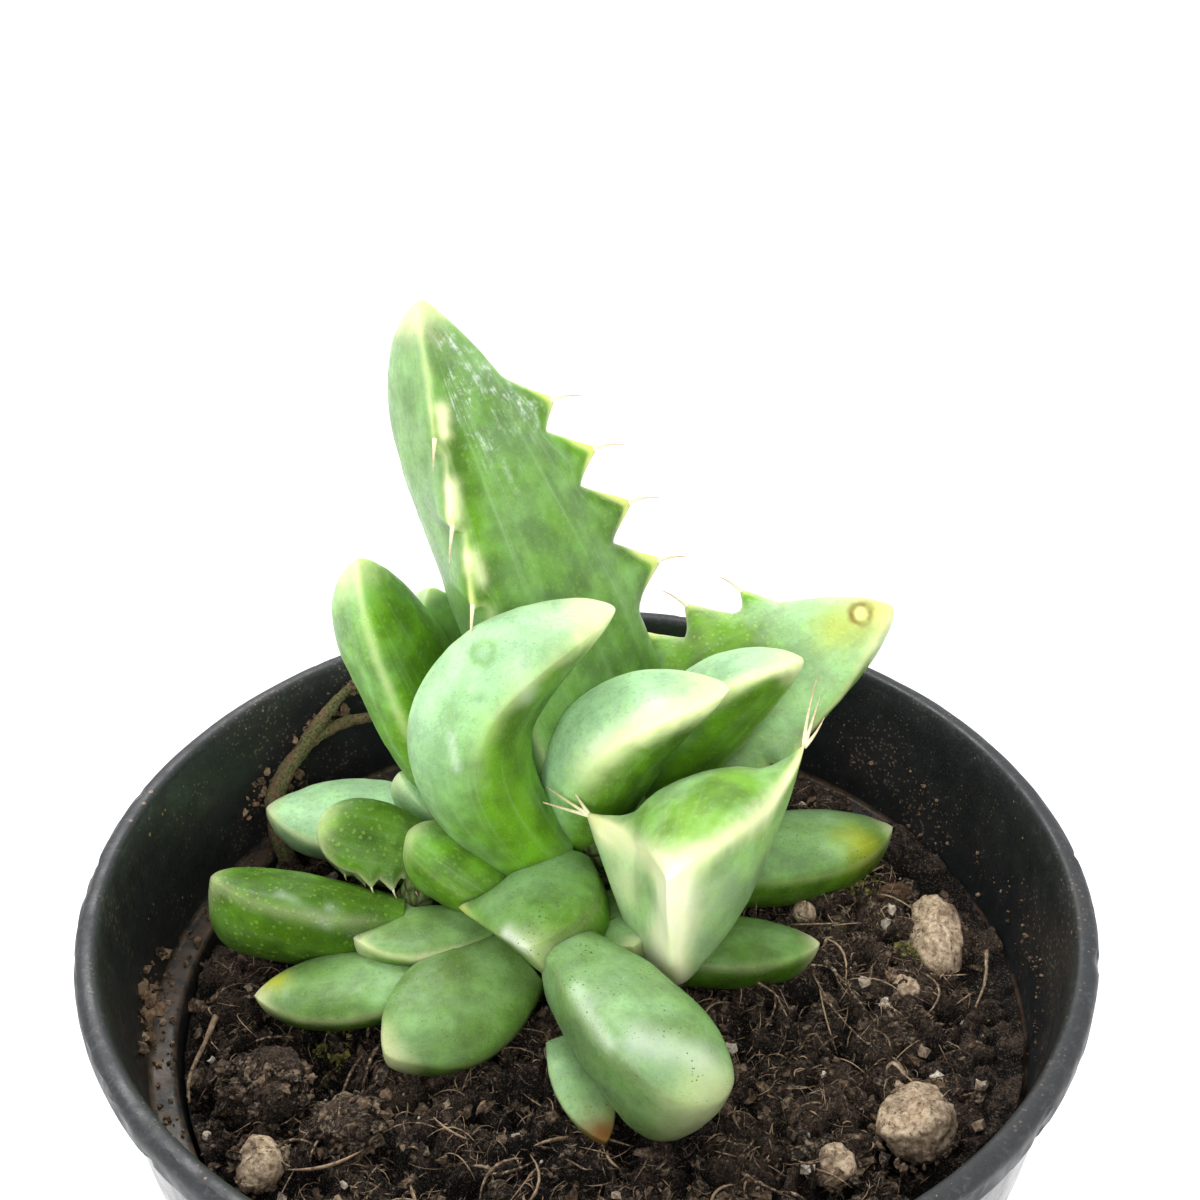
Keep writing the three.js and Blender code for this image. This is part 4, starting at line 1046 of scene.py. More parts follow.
def cut_drains(pot):
    """Cuts the drain holes: round pegs stood through the bottom are taken out of the mesh."""
    middle = about_axis(DRAIN_CIRCLE, full_turn(DRAIN_COUNT) + np.pi / DRAIN_COUNT, 0)
    down, up = middle - [0, 0, FLOOR], middle + [0, 0, 3 * FLOOR]
    circle = about_axis(DRAIN_RADIUS, full_turn(40), 0)
    rings = np.stack([down[:, None] + circle, up[:, None] + circle], axis=1)
    points, faces = many_skins(down, rings, up)
    faces = outwards(points, faces)
    mesh = bpy.data.meshes.new("drain_pegs")
    corners = [list(map(int, face)) for group in faces for face in group]
    mesh.from_pydata((points * MM).tolist(), [], corners)
    pegs = bpy.data.objects.new("drain_pegs", mesh)
    bpy.context.scene.collection.objects.link(pegs)
    cut = pot.modifiers.new("drains", "BOOLEAN")
    cut.operation = "DIFFERENCE"
    cut.solver = "EXACT"
    cut.object = pegs
    seen = bpy.context.evaluated_depsgraph_get()
    whole = pot.evaluated_get(seen)
    pot.data = bpy.data.meshes.new_from_object(whole, preserve_all_data_layers=True, depsgraph=seen)
    pot.modifiers.clear()
    bpy.data.objects.remove(pegs)
    pot.data.set_sharp_from_angle(angle=math.radians(35))


# Soil

def soil_form(x, y):
    """Height of the soil as in the frame: a slow fall to the left and low lumps that fade to the wall."""
    lumps = 0.34 * np.sin(0.42 * x + 1.1) * np.cos(0.37 * y - 0.6) + 0.22 * np.sin(0.83 * x - 0.5 * y + 2)
    fade = 1 - (np.hypot(x, y) / COLLAR_FOOT) ** 4
    return SOIL_LEVEL + SOIL_FALL * x + lumps * fade


def soil_relief(x, y):
    """What stands on the soil's form, about 0 on average: torn crumbs of three sizes, the largest only
    in places, matted fibres and slow waves, less deep pits."""
    spot = np.stack([x, y, np.zeros_like(x)], axis=-1)
    moved = torn(spot, 41, 0.8)
    lumps = smooth_step(soft_noise(spot * 0.2, 6), -0.5, 0.6) * pebbled(moved, 3.6, 1)
    crumbs = 1.35 * lumps + 0.6 * pebbled(moved, 1.4, 2) + 0.28 * pebbled(moved, 0.7, 3)
    wide_pits, small_pits = (
        smooth_step(soft_noise(moved * scale, seed), 0.1, 0.5) for scale, seed in ((0.42, 15), (1, 16)))
    fibres = 0.7 * matted(moved * 0.75, 4) + 0.3 * rough_noise(spot * 0.35, 8)
    return crumbs + fibres - 1.8 * (wide_pits + 0.7 * small_pits) - SOIL_RELIEF_MEAN


def soil_height(x, y, relief):
    """Height of the finished surface: the form and the relief, which sinks to nothing at the wall."""
    fade = smooth_step(np.hypot(x, y), LOWER_WALL_TOP + 1, LOWER_WALL_TOP - 2.5)
    return soil_form(x, y) + relief * soil_relief(x, y) * (0.35 + 0.65 * fade)


def disc_grid(count):
    """A square grid carried to the unit disc by the concentric map, in which each square ring becomes a
    circle: the larger of the two coordinates is the radius, and their ratio times 45 degrees the angle."""
    line = np.linspace(-1, 1, count)
    u, v = np.meshgrid(line, line, indexing="ij")
    flat = np.abs(u) >= np.abs(v)
    radius = np.where(flat, u, v)
    with np.errstate(divide="ignore", invalid="ignore"):
        angle = np.where(flat, np.pi / 4 * v / u, np.pi / 2 - np.pi / 4 * u / v)
    angle = np.nan_to_num(angle)
    return radius * np.cos(angle), radius * np.sin(angle)


def soil_edge(angle):
    """Where the soil's top ends: its radius, at the lower wall or out over the ledge where it stands
    higher, the radius at the lower wall, and the height under its edge."""
    level = soil_form(27 * np.cos(angle), 27 * np.sin(angle))
    ledge_top = LEDGE_HEIGHT + GAP
    over = smooth_step(level, ledge_top + 0.15, ledge_top + 0.4)
    narrow = LOWER_WALL_TOP - GAP - 0.1
    return narrow + (COLLAR_FOOT - GAP - narrow) * over, narrow, np.minimum(level - 0.12, ledge_top)


def make_soil(settings):
    """The soil: the disc grid at its finished height, then a skirt that runs under the edge, down the
    lower wall and over the pot's floor to a point in the middle."""
    x, y = disc_grid(SOIL_GRID)
    edge = soil_edge(np.arctan2(y, x))[0]
    x, y = x * edge, y * edge
    detail = soil_relief(x, y)
    top = np.stack([x, y, soil_height(x, y, settings.relief / MM)], axis=-1)
    index = np.arange(SOIL_GRID ** 2).reshape(SOIL_GRID, SOIL_GRID)
    quads = np.stack([index[:-1, :-1], index[1:, :-1], index[1:, 1:], index[:-1, 1:]], axis=-1)
    loop = np.concatenate([index[:-1, 0], index[-1, :-1], index[:0:-1, -1], index[0, :0:-1]])
    rim = top.reshape(-1, 3)[loop]
    angle = np.arctan2(rim[:, 1], rim[:, 0])
    edge, narrow, under = soil_edge(angle)
    floor = FLOOR + GAP
    skirt = [(edge, under), (narrow - 0.05, under - 0.4), (LOWER_WALL_FOOT - CHAMFER - GAP, floor)]
    rings = np.stack([about_axis(radius, angle, height) for radius, height in skirt])
    points = np.concatenate([top.reshape(-1, 3), rings.reshape(-1, 3), [[0, 0, floor]]])
    chain = np.concatenate([loop[None], SOIL_GRID ** 2 + np.arange(3 * len(loop)).reshape(3, -1)])
    after = np.roll(chain, -1, axis=1)
    walls = np.stack([chain[:-1], chain[1:], after[1:], after[:-1]], axis=-1)
    base = np.stack([chain[-1], np.full(len(loop), len(points) - 1), after[-1]], axis=-1)
    faces = [np.concatenate([quads.reshape(-1, 4), walls.reshape(-1, 4)]), base]
    # crown is how high the relief stands: the finish paints shade in the hollows and light on the crowns by
    # it
    crown = np.concatenate([np.clip(0.5 + 0.6 * detail.ravel(), 0, 1), np.zeros(3 * len(loop) + 1)])
    return make_piece("soil_bed", points, faces, peat_finish("potting_soil", settings),
                      ["soil"], {"crown": crown})


def ball_rings(rings, around):
    """Directions of a ball's rings from its foot to its crown, as (rings, around, 3)."""
    polar = (np.pi - np.pi * (1 + np.arange(rings)) / (rings + 1))[:, None]
    return about_axis(np.sin(polar), full_turn(around)[None], np.cos(polar))


def scattered(random, count, reach):
    """Places spread evenly over a disc: radius is the square root of a random share."""
    radius = reach * np.sqrt(random.random(count))
    angle = random.random(count) * 2 * np.pi
    return radius * np.cos(angle), radius * np.sin(angle)


def lumpy_bits(random, places, size, stretch):
    """Many small lumpy grains at once: a ball of few rings, each ring point moved by its own random
    share, stretched, tilted, turned and placed."""
    count = len(size)
    form = ball_rings(3, 6)
    lump = 1 + 0.95 * (random.random((count, *form.shape[:2], 1)) - 0.5)
    x, y, z = np.moveaxis(stretch[:, None, None, :] * lump * form[None], -1, 0)
    turn = (random.random(count) * 2 * np.pi)[:, None, None]
    tilt = ((random.random(count) - 0.5) * 1.6)[:, None, None]
    y, z = turned(y, z, tilt)
    x, y = turned(x, y, turn)
    rings = np.stack([x, y, z], axis=-1) * size[:, None, None, None]
    centre = np.stack(places, axis=-1)
    first = centre + rings[:, 0].mean(axis=1) * 1.15
    last = centre + rings[:, -1].mean(axis=1) * 1.15
    return many_skins(first, rings + centre[:, None, None], last)


def per_bit(values, points):
    """One value per bit, repeated for each of its corners."""
    return np.repeat(values, len(points) // len(values))


def bits_piece(name, random, places, size, stretch, power=1.0):
    """One piece of many lumpy bits, sharp-edged, each with its own tone. A few are pale."""
    points, faces = lumpy_bits(random, places, size, stretch)
    tone = random.random(len(size)) ** power
    tone = np.where(random.random(len(size)) < PALE_SHARE, 1.6 + 0.8 * tone, tone)
    paint = {"tone": per_bit(tone, points)}
    return make_piece(name, points, faces, bits_finish(name), paint=paint, smooth=False)


def heap(random, place, half, turn, kind):
    """Places and sizes of crumbs on one grain: all over a clod, and round the foot of any other."""
    clod = kind == "potting_soil"
    count = CRUMBS_ON_CLOD if clod else CRUMBS_ON_GRAIN
    flatten, lift = ([1, 1, 1], [0, 0, 0.6]) if clod else ([1, 1, 0.12], [0, 0, -0.1])
    way = unit(random.normal(size=(count, 3)) * flatten + lift)
    spot = way * half * (0.94 + 0.1 * random.random((count, 1)) + (0 if clod else 0.1))
    x, y = turned(spot[:, 0], spot[:, 1], math.radians(turn))
    z = soil_form(*place) + 0.25 * half[2] + spot[:, 2]
    return np.stack([place[0] + x, place[1] + y, z]), 0.1 + 0.4 * random.random(count) ** 2


def make_peat_crumbs(random, count, relief):
    """Loose crumbs of peat all over the soil and heaped on the grains."""
    x, y = scattered(random, count, LOWER_WALL_TOP - 0.3)
    size = 0.09 + 0.42 * random.random(count) ** 3.6
    heaps = [(np.stack([x, y, soil_height(x, y, relief) + 0.2 * size]), size)]
    heaps += [heap(random, *grain) for grain in GRAINS.values()]
    places = np.concatenate([spots for spots, _ in heaps], axis=1)
    size = np.concatenate([sizes for _, sizes in heaps])
    ranges = ((1, 0.8), (0.6, 0.5), (0.5, 0.5))
    stretch = np.stack([least + more * random.random(len(size)) for least, more in ranges], axis=-1)
    bits_piece("peat_crumbs", random, places, size, stretch, power=1.6)


def make_perlite_bits(random, relief):
    """Small bits of perlite on the soil."""
    x, y = scattered(random, PERLITE_BITS, LOWER_WALL_TOP - 0.6)
    size = 0.1 + 0.5 * random.random(len(x)) ** 3
    places = (x, y, soil_height(x, y, relief) + 0.3 * size)
    stretch = 0.75 + 0.5 * random.random((len(x), 3))
    bits_piece("perlite_bits", random, places, size, stretch)


def make_moss_tufts(random, relief):
    """Tufts of moss: small bits that crowd round each spot."""
    spots = np.repeat(np.array(MOSS_SPOTS), MOSS_BITS, axis=0)
    drift = random.normal(size=(len(spots), 2)) * spots[:, 2:] * 0.5
    x, y = (spots[:, :2] + drift).T
    size = 0.07 + 0.2 * random.random(len(x)) ** 2
    places = (x, y, soil_height(x, y, relief) + 0.25 + 0.35 * random.random(len(x)))
    bits_piece("moss_tufts", random, places, size, 0.5 + random.random((len(x), 3)))


def make_wall_crumbs(random):
    """Crumbs that lie on the ledge, and smears of crumbs on the wall above it."""
    angle = random.random(LEDGE_CRUMBS) * 2 * np.pi
    radius = LOWER_WALL_TOP + 0.2 + (LEDGE_WIDTH - 0.35) * random.random(LEDGE_CRUMBS)
    size = 0.07 + 0.2 * random.random(LEDGE_CRUMBS) ** 2
    groups = [(radius, angle, LEDGE_HEIGHT - 0.1 + 0.4 * size, size)]
    for turn, height, spread, count, scale in WALL_SMEARS:
        angle = np.radians(turn) + random.normal(size=count) * spread / INNER_RIM
        level = height + random.normal(size=count) * spread * 0.45
        wall = COLLAR_FOOT + (INNER_RIM - COLLAR_FOOT) * (level - LEDGE_HEIGHT) / COLLAR_DEPTH
        size = scale * (0.08 + 0.42 * random.random(count) ** 2.5)
        groups.append((wall - 0.3 * size, angle, level, size))
    radius, angle, level, size = (np.concatenate(parts) for parts in zip(*groups))
    places = about_axis(radius, angle, level).T
    bits_piece("wall_crumbs", random, places, size, 0.6 + 0.8 * random.random((len(size), 3)))


def make_crumbs(settings):
    """Every loose bit on the soil, the ledge and the wall."""
    random = np.random.default_rng(CRUMB_SEED)
    relief = settings.relief / MM
    make_peat_crumbs(random, settings.crumbs, relief)
    make_perlite_bits(random, relief)
    make_moss_tufts(random, relief)
    make_wall_crumbs(random)


def make_threads(name, random, count, relief, length, thick, steps, around, finish):
    """Many tapered fibres at once, each on a parabola that arches off the soil and sways sideways.
    length and thick give the least and the most, in mm."""
    x, y = scattered(random, count, LOWER_WALL_TOP - 1.2 - 0.3 * length[1])
    heading = (random.random(count) * 2 * np.pi)[:, None]
    size = (length[0] + (length[1] - length[0]) * random.random(count) ** 2)[:, None]
    t = np.linspace(-0.5, 0.5, steps)[None]
    along = t * size
    across = (random.random(count) - 0.5)[:, None] * size * 2.2 * (0.25 - t ** 2)
    arch = (0.15 + random.random(count))[:, None] * size * (0.25 - t ** 2)
    lift = (random.random(count) - 0.4)[:, None] * 0.7 * along
    east, north = turned(along, across, heading)
    height = soil_height(x, y, relief)[:, None] + arch + lift + 0.05
    paths = np.stack([x[:, None] + east, y[:, None] + north, height], axis=-1)
    girth = (thick[0] + (thick[1] - thick[0]) * random.random(count) ** 3)[:, None]
    rings = tube_rings(paths, girth * (1 - 0.75 * np.abs(2 * t) ** 2.5), around)
    points, faces = many_skins(paths[:, 0], rings, paths[:, -1])
    tone = per_bit(random.random(count) ** 1.5, points)
    return make_piece(name, points, faces, finish, paint={"tone": tone})


def make_rootlet(name, places, thick, seed, finish):
    """One rootlet: a tapered tube whose girth and skin are roughened by noise."""
    steps, around = 40, 12
    path = along_path(places, steps)
    t = np.linspace(0, 1, steps)
    radii = thick * (1 - 0.5 * t) * (1 + 0.25 * soft_noise(path * 1.6, 60 + seed))
    rings = tube_rings(path[None], radii[None], around)[0]
    rings = rings + 0.06 * rough_noise(rings * 3, 70, 3)[..., None]
    points = skin_points(path[0], rings, path[-1])
    tone = np.full(len(points), 0.08 + 0.14 * (seed % 4))
    make_piece(name, points, skin_faces(steps, around), finish, paint={"tone": tone})


def make_fibres(settings):
    """Coir fibres and splinters, short curled hairs of peat, and the few large rootlets."""
    random = np.random.default_rng(FIBRE_SEED)
    relief = settings.relief / MM
    finish = bits_finish("coir")
    hairs = HAIRS_PER_FIBRE * settings.fibres
    make_threads("coir_fibres", random, settings.fibres, relief, (1.2, 5.4), (0.035, 0.13), 8, 5, finish)
    make_threads("peat_hairs", random, hairs, relief, (0.6, 2.4), (0.024, 0.065), 5, 3, finish)
    for seed, (places, thick) in enumerate(ROOTLETS):
        make_rootlet(f"rootlet_{seed + 1}", places, thick, seed, finish)


# Grains and mossy root

def make_grain(name, place, half, turn, finish, slot):
    """A grain as in the frame, finer: an ellipsoid whose radius swings slowly round it, roughened by
    noise along its own radius."""
    rings, around = 40, 56
    form = ball_rings(rings, around)
    polar = np.arccos(np.clip(form[..., 2], -1, 1))
    angle = np.arctan2(form[..., 1], form[..., 0])
    swing = 1 + 0.12 * np.sin(2 * angle + place[0]) + 0.09 * np.cos(3 * polar + angle + place[1])
    fineness = 1.1 if slot == "potting_soil" else 0.55
    own = form * np.mean(half) + np.array([*place, 0.0]) * 3
    rough = rough_noise(own * fineness, 31, 5, 0.64) * 0.32 - 0.04
    x, y, z = np.moveaxis(form * (swing * (1 + rough))[..., None] * np.array(half), -1, 0)
    x, y = turned(x, y, math.radians(turn))
    centre = np.array([*place, float(soil_form(*place)) + 0.25 * half[2]])
    foot, crown = centre - [0, 0, half[2]], centre + [0, 0, half[2]]
    points = skin_points(foot, np.stack([x, y, z], axis=-1) + centre, crown)
    # crown rises from the foot to the top and on the bumps: a clod's finish paints shade low down and light
    # on top by it, and the perlite's turns darker brown towards the bottom
    share = np.concatenate([[0], (0.5 + 0.5 * form[..., 2] + 0.6 * rough).ravel(), [1]])
    return make_piece(f"{name}_grain", points, skin_faces(rings, around), finish, [name],
                      {"crown": np.clip(share, 0, 1)})


def make_mossy_root():
    """The root: two tubes along smooth curves, their radius roughened by noise, with blunt ends."""
    steps, around = 70, 28
    points, faces = [], []
    for run, thick in zip(ROOT_RUNS, (ROOT_THICK, 0.8 * ROOT_THICK)):
        path = along_path(run, steps)
        t = np.linspace(0, 1, steps)
        blunt = np.sqrt(np.clip(1 - (2 * t - 1) ** 12, 0.02, 1))
        radii = thick * (0.78 + 0.22 * np.cos(np.pi * t)) * blunt
        rings = tube_rings(path[None], radii[None], around)[0]
        rough = rough_noise(rings * 1.5, 51, 4, 0.6)[..., None]
        rings = rings + unit(rings - path[:, None]) * rough * 0.22
        shift = sum(len(part) for part in points)
        points.append(skin_points(path[0], rings, path[-1]))
        faces.extend(group + shift for group in skin_faces(steps, around))
    return make_piece("mossy_root_bark", np.concatenate(points), faces, moss_finish(),
                      ["mossy_root"])


# Stems

def make_stem(name, at, radius, top):
    """A stem: its profile carried round, with rings of leaf scars as waves of its radius."""
    steps, around = STEM_GRID
    height = np.linspace(STEM_FOOT, top, steps)[:, None]
    share = (height - STEM_FOOT) / (top - STEM_FOOT)
    girth = radius * (0.9 + 0.1 * smooth_step(share, 0.5, 0.8)) * (1 - 0.75 * smooth_step(share, 0.72, 1.0))
    angle = full_turn(around)[None]
    waves = 1 - 0.035 * (0.5 + 0.5 * np.sin(height * 4 + 1.2 * np.sin(2 * angle)))
    rings = about_axis(girth * waves, angle, height) + [*at, 0]
    points = skin_points((*at, STEM_FOOT), rings, (*at, top))
    return make_piece(f"{name}_skin", points, skin_faces(steps, around), stem_finish(), [name])


# Leaves

def leaf_shares(leaf, s):
    """Half width and keel depth as shares of their largest: a quarter sine up to the fullest station,
    then one minus a power of what is left, to another power."""
    def rise(start, peak):
        return start + (1 - start) * np.sin(np.pi / 2 * np.minimum(s / peak, 1))

    def close(peak, power, root):
        return (1 - np.clip((s - peak) / (1 - peak), 0, 1) ** power) ** root

    width = rise(leaf["root_width"], leaf["widest"]) * close(leaf["widest"], *leaf["taper"])
    depth = rise(leaf["root_depth"], leaf["deepest"]) * close(leaf["deepest"], *leaf["chin"])
    return width, depth


def tooth_height(leaf, s, side):
    """How far a margin stands out: each tooth is hooked, with a short hollow flank towards the root and
    a longer, straighter one towards the tip, and its point is rounded a little."""
    height = np.zeros_like(s)
    for at, half, tall, where in leaf["teeth"]:
        if where == side:
            reach = np.where(s < at, 1.05 * half, 1.3 * half)
            power = np.where(s < at, 1.6, 1.2)
            away = np.hypot(s - at, 0.1 * half) - 0.1 * half
            height = np.maximum(height, tall * np.clip(1 - away / reach, 0, None) ** power)
    return height


def both_margins(leaf, s, cos):
    """The height of the right margin's teeth on a section's right half, and of the left's on its left."""
    right, left = (tooth_height(leaf, s, side)[:, None] for side in (1, -1))
    return np.where(cos > 0, right, left)


def leaf_middle(leaf, s):
    """Middle line and its three directions: a parabola from root to tip that bows towards the keel and
    sways sideways, with the face kept square to it."""
    root, tip, faces = (np.array(leaf[key], dtype=float) for key in ("root", "tip", "faces"))
    chord = tip - root
    along = unit(chord)
    face = unit(faces - along * faces.dot(along))
    side = np.cross(along, face)
    arch = (4 * s * (1 - s))[:, None]
    slope = (4 - 8 * s)[:, None]
    middle = root + chord * s[:, None] - face * leaf["bow"] * arch + side * leaf["sway"] * arch
    tangent = unit(chord - face * leaf["bow"] * slope + side * leaf["sway"] * slope)
    up = unit(face - tangent * (tangent @ face)[:, None])
    return middle, tangent, up, np.cross(tangent, up)


def leaf_stations(leaf, count):
    """Stations along a leaf: closer together towards the tip, with one at each tooth's point."""
    even = 1 - (1 - np.arange(1, count) / count) ** 1.35
    points = [tooth[0] for tooth in leaf["teeth"]]
    kept = [s for s in even if all(abs(s - at) > 0.3 / count for at in points)]
    return np.array(sorted([0.004, *kept, *points]))


def leaf_surface(leaf, s, angle):
    """The leaf's skin as (stations, angles, 3). The upper half of a section is a low crown, the lower a
    half superellipse that turns from round at the root to keeled, and teeth stand out of the margins."""
    middle, tangent, up, right = leaf_middle(leaf, s)
    width, depth = leaf_shares(leaf, s)
    half_width = (leaf["width"] / 2 * width)[:, None]
    keeled = np.clip((s - 0.15) / 0.5, 0, 1)[:, None]
    cos, sin = np.cos(angle)[None], np.sin(angle)[None]
    upper = sin >= 0
    power = np.where(upper, 2.2, 2 - (2 - leaf["keel_power"]) * keeled)
    drop = np.abs(sin) ** (2 / power)
    crown, keel = leaf["crown"] * leaf["width"] * width[:, None], -leaf["depth"] * depth[:, None]
    height = np.where(upper, crown, keel) * drop
    shift = np.where(upper, 0, leaf["keel_shift"] * depth[:, None] * drop)
    across = np.sign(cos) * np.abs(cos) ** (2 / power) * half_width + shift
    from_margin = np.degrees(np.arcsin(np.clip(np.abs(sin), 0, 1)))
    spread = np.clip(1 - from_margin / TOOTH_SPREAD, 0, None) ** 1.6
    teeth = both_margins(leaf, s, cos) * spread
    return (middle[:, None] + right[:, None] * (across + np.sign(cos) * teeth)[..., None]
            + up[:, None] * (height + leaf["tooth_rise"] * teeth)[..., None]
            - tangent[:, None] * (np.where(cos > 0, *leaf["tooth_lean"]) * teeth)[..., None])


def bell(distance, width):
    """1 at no distance, and a smooth fall to nothing that takes about twice the width."""
    return np.exp(-(distance / width) ** 2)


def leaf_paint(leaf, seed, s, angle, skin, normal):
    """Attributes of the leaf's finish, as whole arrays over its grid."""
    sin, cos = np.sin(angle)[None], np.cos(angle)[None]
    length = np.linalg.norm(np.array(leaf["tip"]) - np.array(leaf["root"]))
    count = len(angle)
    to_right, to_left, to_keel = (
        np.linalg.norm(skin - skin[:, k:k + 1], axis=-1) for k in (0, count // 2, 3 * count // 4))
    to_margin = np.minimum(to_right, to_left)
    to_tip = ((1 - s) * length)[:, None]
    cloud = rough_noise(skin * 0.45, seed, 3)
    fine = rough_noise(skin * 1.4, seed + 3, 3)
    toothy = both_margins(leaf, s, cos)

    soften = 1 + 0.35 * cloud + 0.25 * fine
    margin_band, keel_band, tip_band = (width * soften for width in leaf["bands"])
    on_margin, on_keel, on_tip = leaf["cream"]
    margin = on_margin * bell(to_margin, margin_band) * smooth_step(s, 0.02, 0.3)[:, None]
    ridge = on_keel * bell(to_keel, keel_band) * smooth_step(s, 0.25, 0.7)[:, None]
    point = on_tip * bell(to_tip, tip_band)
    tooth_tip = smooth_step(toothy * bell(to_margin, 1.2), 1.0, 2.8)
    wash = np.clip(leaf["wash"] * (1 + 1.2 * cloud), 0, 1)
    cream = 1 - (1 - margin) * (1 - ridge) * (1 - point) * (1 - 0.7 * tooth_tip) * (1 - wash)

    # Painted light and shade: flanks that look away from the light show more flesh and painted shade, and
    # those that face it more pale bloom
    shaded = normal @ unit(np.array(SHADED))
    flank = leaf["turn"] * (shaded + 0.05)
    tooth_flesh = smooth_step(toothy * bell(to_margin, 1.6), 0.2, 1.4)
    # Painted shade: the leaf's own amount, deepest on the low leaves, and more on the flanks turned from
    # the light
    painted_shade_amount = leaf["painted_shade"] * (1 + 0.5 * cloud) + 0.8 * leaf["turn"] * np.clip(shaded, 0, 1)
    old_top = smooth_step(sin, -0.05, 0.25) * smooth_step(s, 0.75, 0.1)[:, None]
    edge_dirt = bell(to_margin, 0.9) * smooth_step(normal[..., 2], 0.1, 0.7)
    grime = leaf["dust"] * (0.55 * old_top + 0.9 * edge_dirt) * smooth_step(cloud, -0.5, 0.4)
    paint = {
        "cream": np.clip(cream * (0.9 + 0.15 * fine), 0, 1),
        "lush_and_painted_light": np.clip(leaf["lush_and_painted_light"] + flank + 0.22 * cloud + 0.45 * tooth_flesh, 0, 1),
        "streaks": np.full_like(cloud, leaf["streaks"]),
        "painted_shade": np.clip(painted_shade_amount, 0, 1),
        "dots": np.clip(leaf["dots"] * (1 + cloud), 0, 1),
        "dust": leaf["dust"] * (0.55 + 0.45 * smooth_step(normal[..., 2], -0.2, 0.6)),
        "grime": np.clip(grime * 0.8, 0, 1),
        "yellow": 0.45 * tooth_tip,
        "brown": np.zeros_like(cloud),
        "shiny_scuffs": np.zeros_like(cloud),
        "painted_highlight": np.zeros_like(cloud),
    }
    for mark in leaf["marks"]:
        add_mark(paint, skin, fine, *mark)
    ribs = about_axis(6, angle[None], 1.1 * s[:, None])
    return paint, ribs + seed


def add_mark(paint, skin, fine, kind, places, radius, strength):
    """Adds one mark to the paint: its strength falls off softly from a point or a line of two points."""
    first, last = np.array(places[:3]), np.array(places[-3:])
    line = last - first
    share = np.clip((skin - first) @ line / max(line @ line, 0.001), 0, 1)
    nearest = first + share[..., None] * line
    away = np.linalg.norm(skin - nearest, axis=-1) / radius * (1 + 0.35 * fine)
    if kind == "scar":
        added = {
            "brown": 0.65 * bell(away - 0.75, 0.25) * (1 + 0.8 * fine),
            "cream": smooth_step(away, 0.6, 0.3),
        }
    elif kind == "ring":
        added = {"lush_and_painted_light": bell(away - 0.7, 0.3)}
    else:
        # sheen and shade marks add painted highlights and painted shade, or painted light where the
        # strength is negative
        added = {kind: bell(away, 0.6)}
    for key, amount in added.items():
        paint[key] = np.clip(paint[key] + strength * amount, 0, 1)


def make_leaf(name, leaf, seed, finish):
    """One leaf: its skin roughened a little along its normal, painted, and closed at root and tip."""
    steps, around = leaf["grid"]
    s = leaf_stations(leaf, steps)
    angle = full_turn(around)
    skin = leaf_surface(leaf, s, angle)
    round_trip = np.roll(skin, -1, axis=1) - np.roll(skin, 1, axis=1)
    normal = unit(np.cross(round_trip, np.gradient(skin, axis=0)))
    middle = leaf_middle(leaf, s)[0][:, None]
    normal = normal * np.sign(np.sum(normal * (skin - middle)))
    swell = 0.09 * soft_noise(skin * 0.4, seed) + 0.03 * soft_noise(skin * 1.3, seed + 1)
    paint, ribs = leaf_paint(leaf, seed, s, angle, skin, normal)
    points = skin_points(leaf["root"], skin + normal * swell[..., None], leaf["tip"])
    paint = {key: np.concatenate([[rows[0].mean()], rows.ravel(), [rows[-1].mean()]])
             for key, rows in paint.items()}
    paint["ribs"] = skin_points(ribs[0].mean(axis=0), ribs, ribs[-1].mean(axis=0))
    return make_piece(f"{name}_skin", points, skin_faces(len(s), around), finish, [name], paint)


def tooth_bristles(random, leaf, tooth, full, t):
    """Middle lines of the bristles on one tooth: parabolas that start inside the tooth's point. A tooth
    that stands up has a fan of three, and any other has one that bends back."""
    at, _, tall, side = tooth
    s = np.array([at])
    _, tangent, up, right = (part[0] for part in leaf_middle(leaf, s))
    lean = leaf["tooth_lean"][0 if side > 0 else 1]
    start = leaf_surface(leaf, s, np.array([0.0 if side > 0 else np.pi]))[0, 0]
    out = unit(side * right + leaf["tooth_rise"] * up - lean * tangent)
    aside = unit(np.cross(out, tangent))
    fan = leaf["tooth_rise"] > 0.5
    lines = []
    for twin, spread in enumerate((-0.42, 0, 0.42) if fan else (0,)):
        heading = unit(out + spread * aside + 0.15 * (random.random(3) - 0.5))
        length = full * leaf["bristle"] * min(1, 0.35 + 0.2 * tall) * (1 - 0.2 * twin)
        bend = 0.3 * up + (0.35 - 0.15 * twin) * side * right if fan else -0.25 * tangent - 0.12 * up
        lines.append(start - 0.35 * out + length * (heading * t + bend * t ** 2))
    return lines


def make_bristles(settings):
    """Bristles on the teeth, each a thin tapered tube, as one piece."""
    random = np.random.default_rng(BRISTLE_SEED)
    steps, around = 12, 8
    t = np.linspace(0, 1, steps)
    leaves = [{**LEAF, **spec} for spec in LEAVES.values()]
    paths = np.array([
        line for leaf in leaves if leaf["bristle"] for tooth in leaf["teeth"]
        for line in tooth_bristles(random, leaf, tooth, settings.bristle_length / MM, t[:, None])])
    size = np.linalg.norm(paths[:, -1] - paths[:, 0], axis=1)[:, None]
    radii = np.minimum(0.15, 0.11 * size) * (1 - t) ** 1.1 + 0.026
    points, faces = many_skins(paths[:, 0], tube_rings(paths, radii, around), paths[:, -1])
    out = np.tile(np.concatenate([[0], np.repeat(t, around), [1]]), len(paths))
    return make_piece("bristles", points, faces, bristle_finish(), paint={"out": out})


# Stage

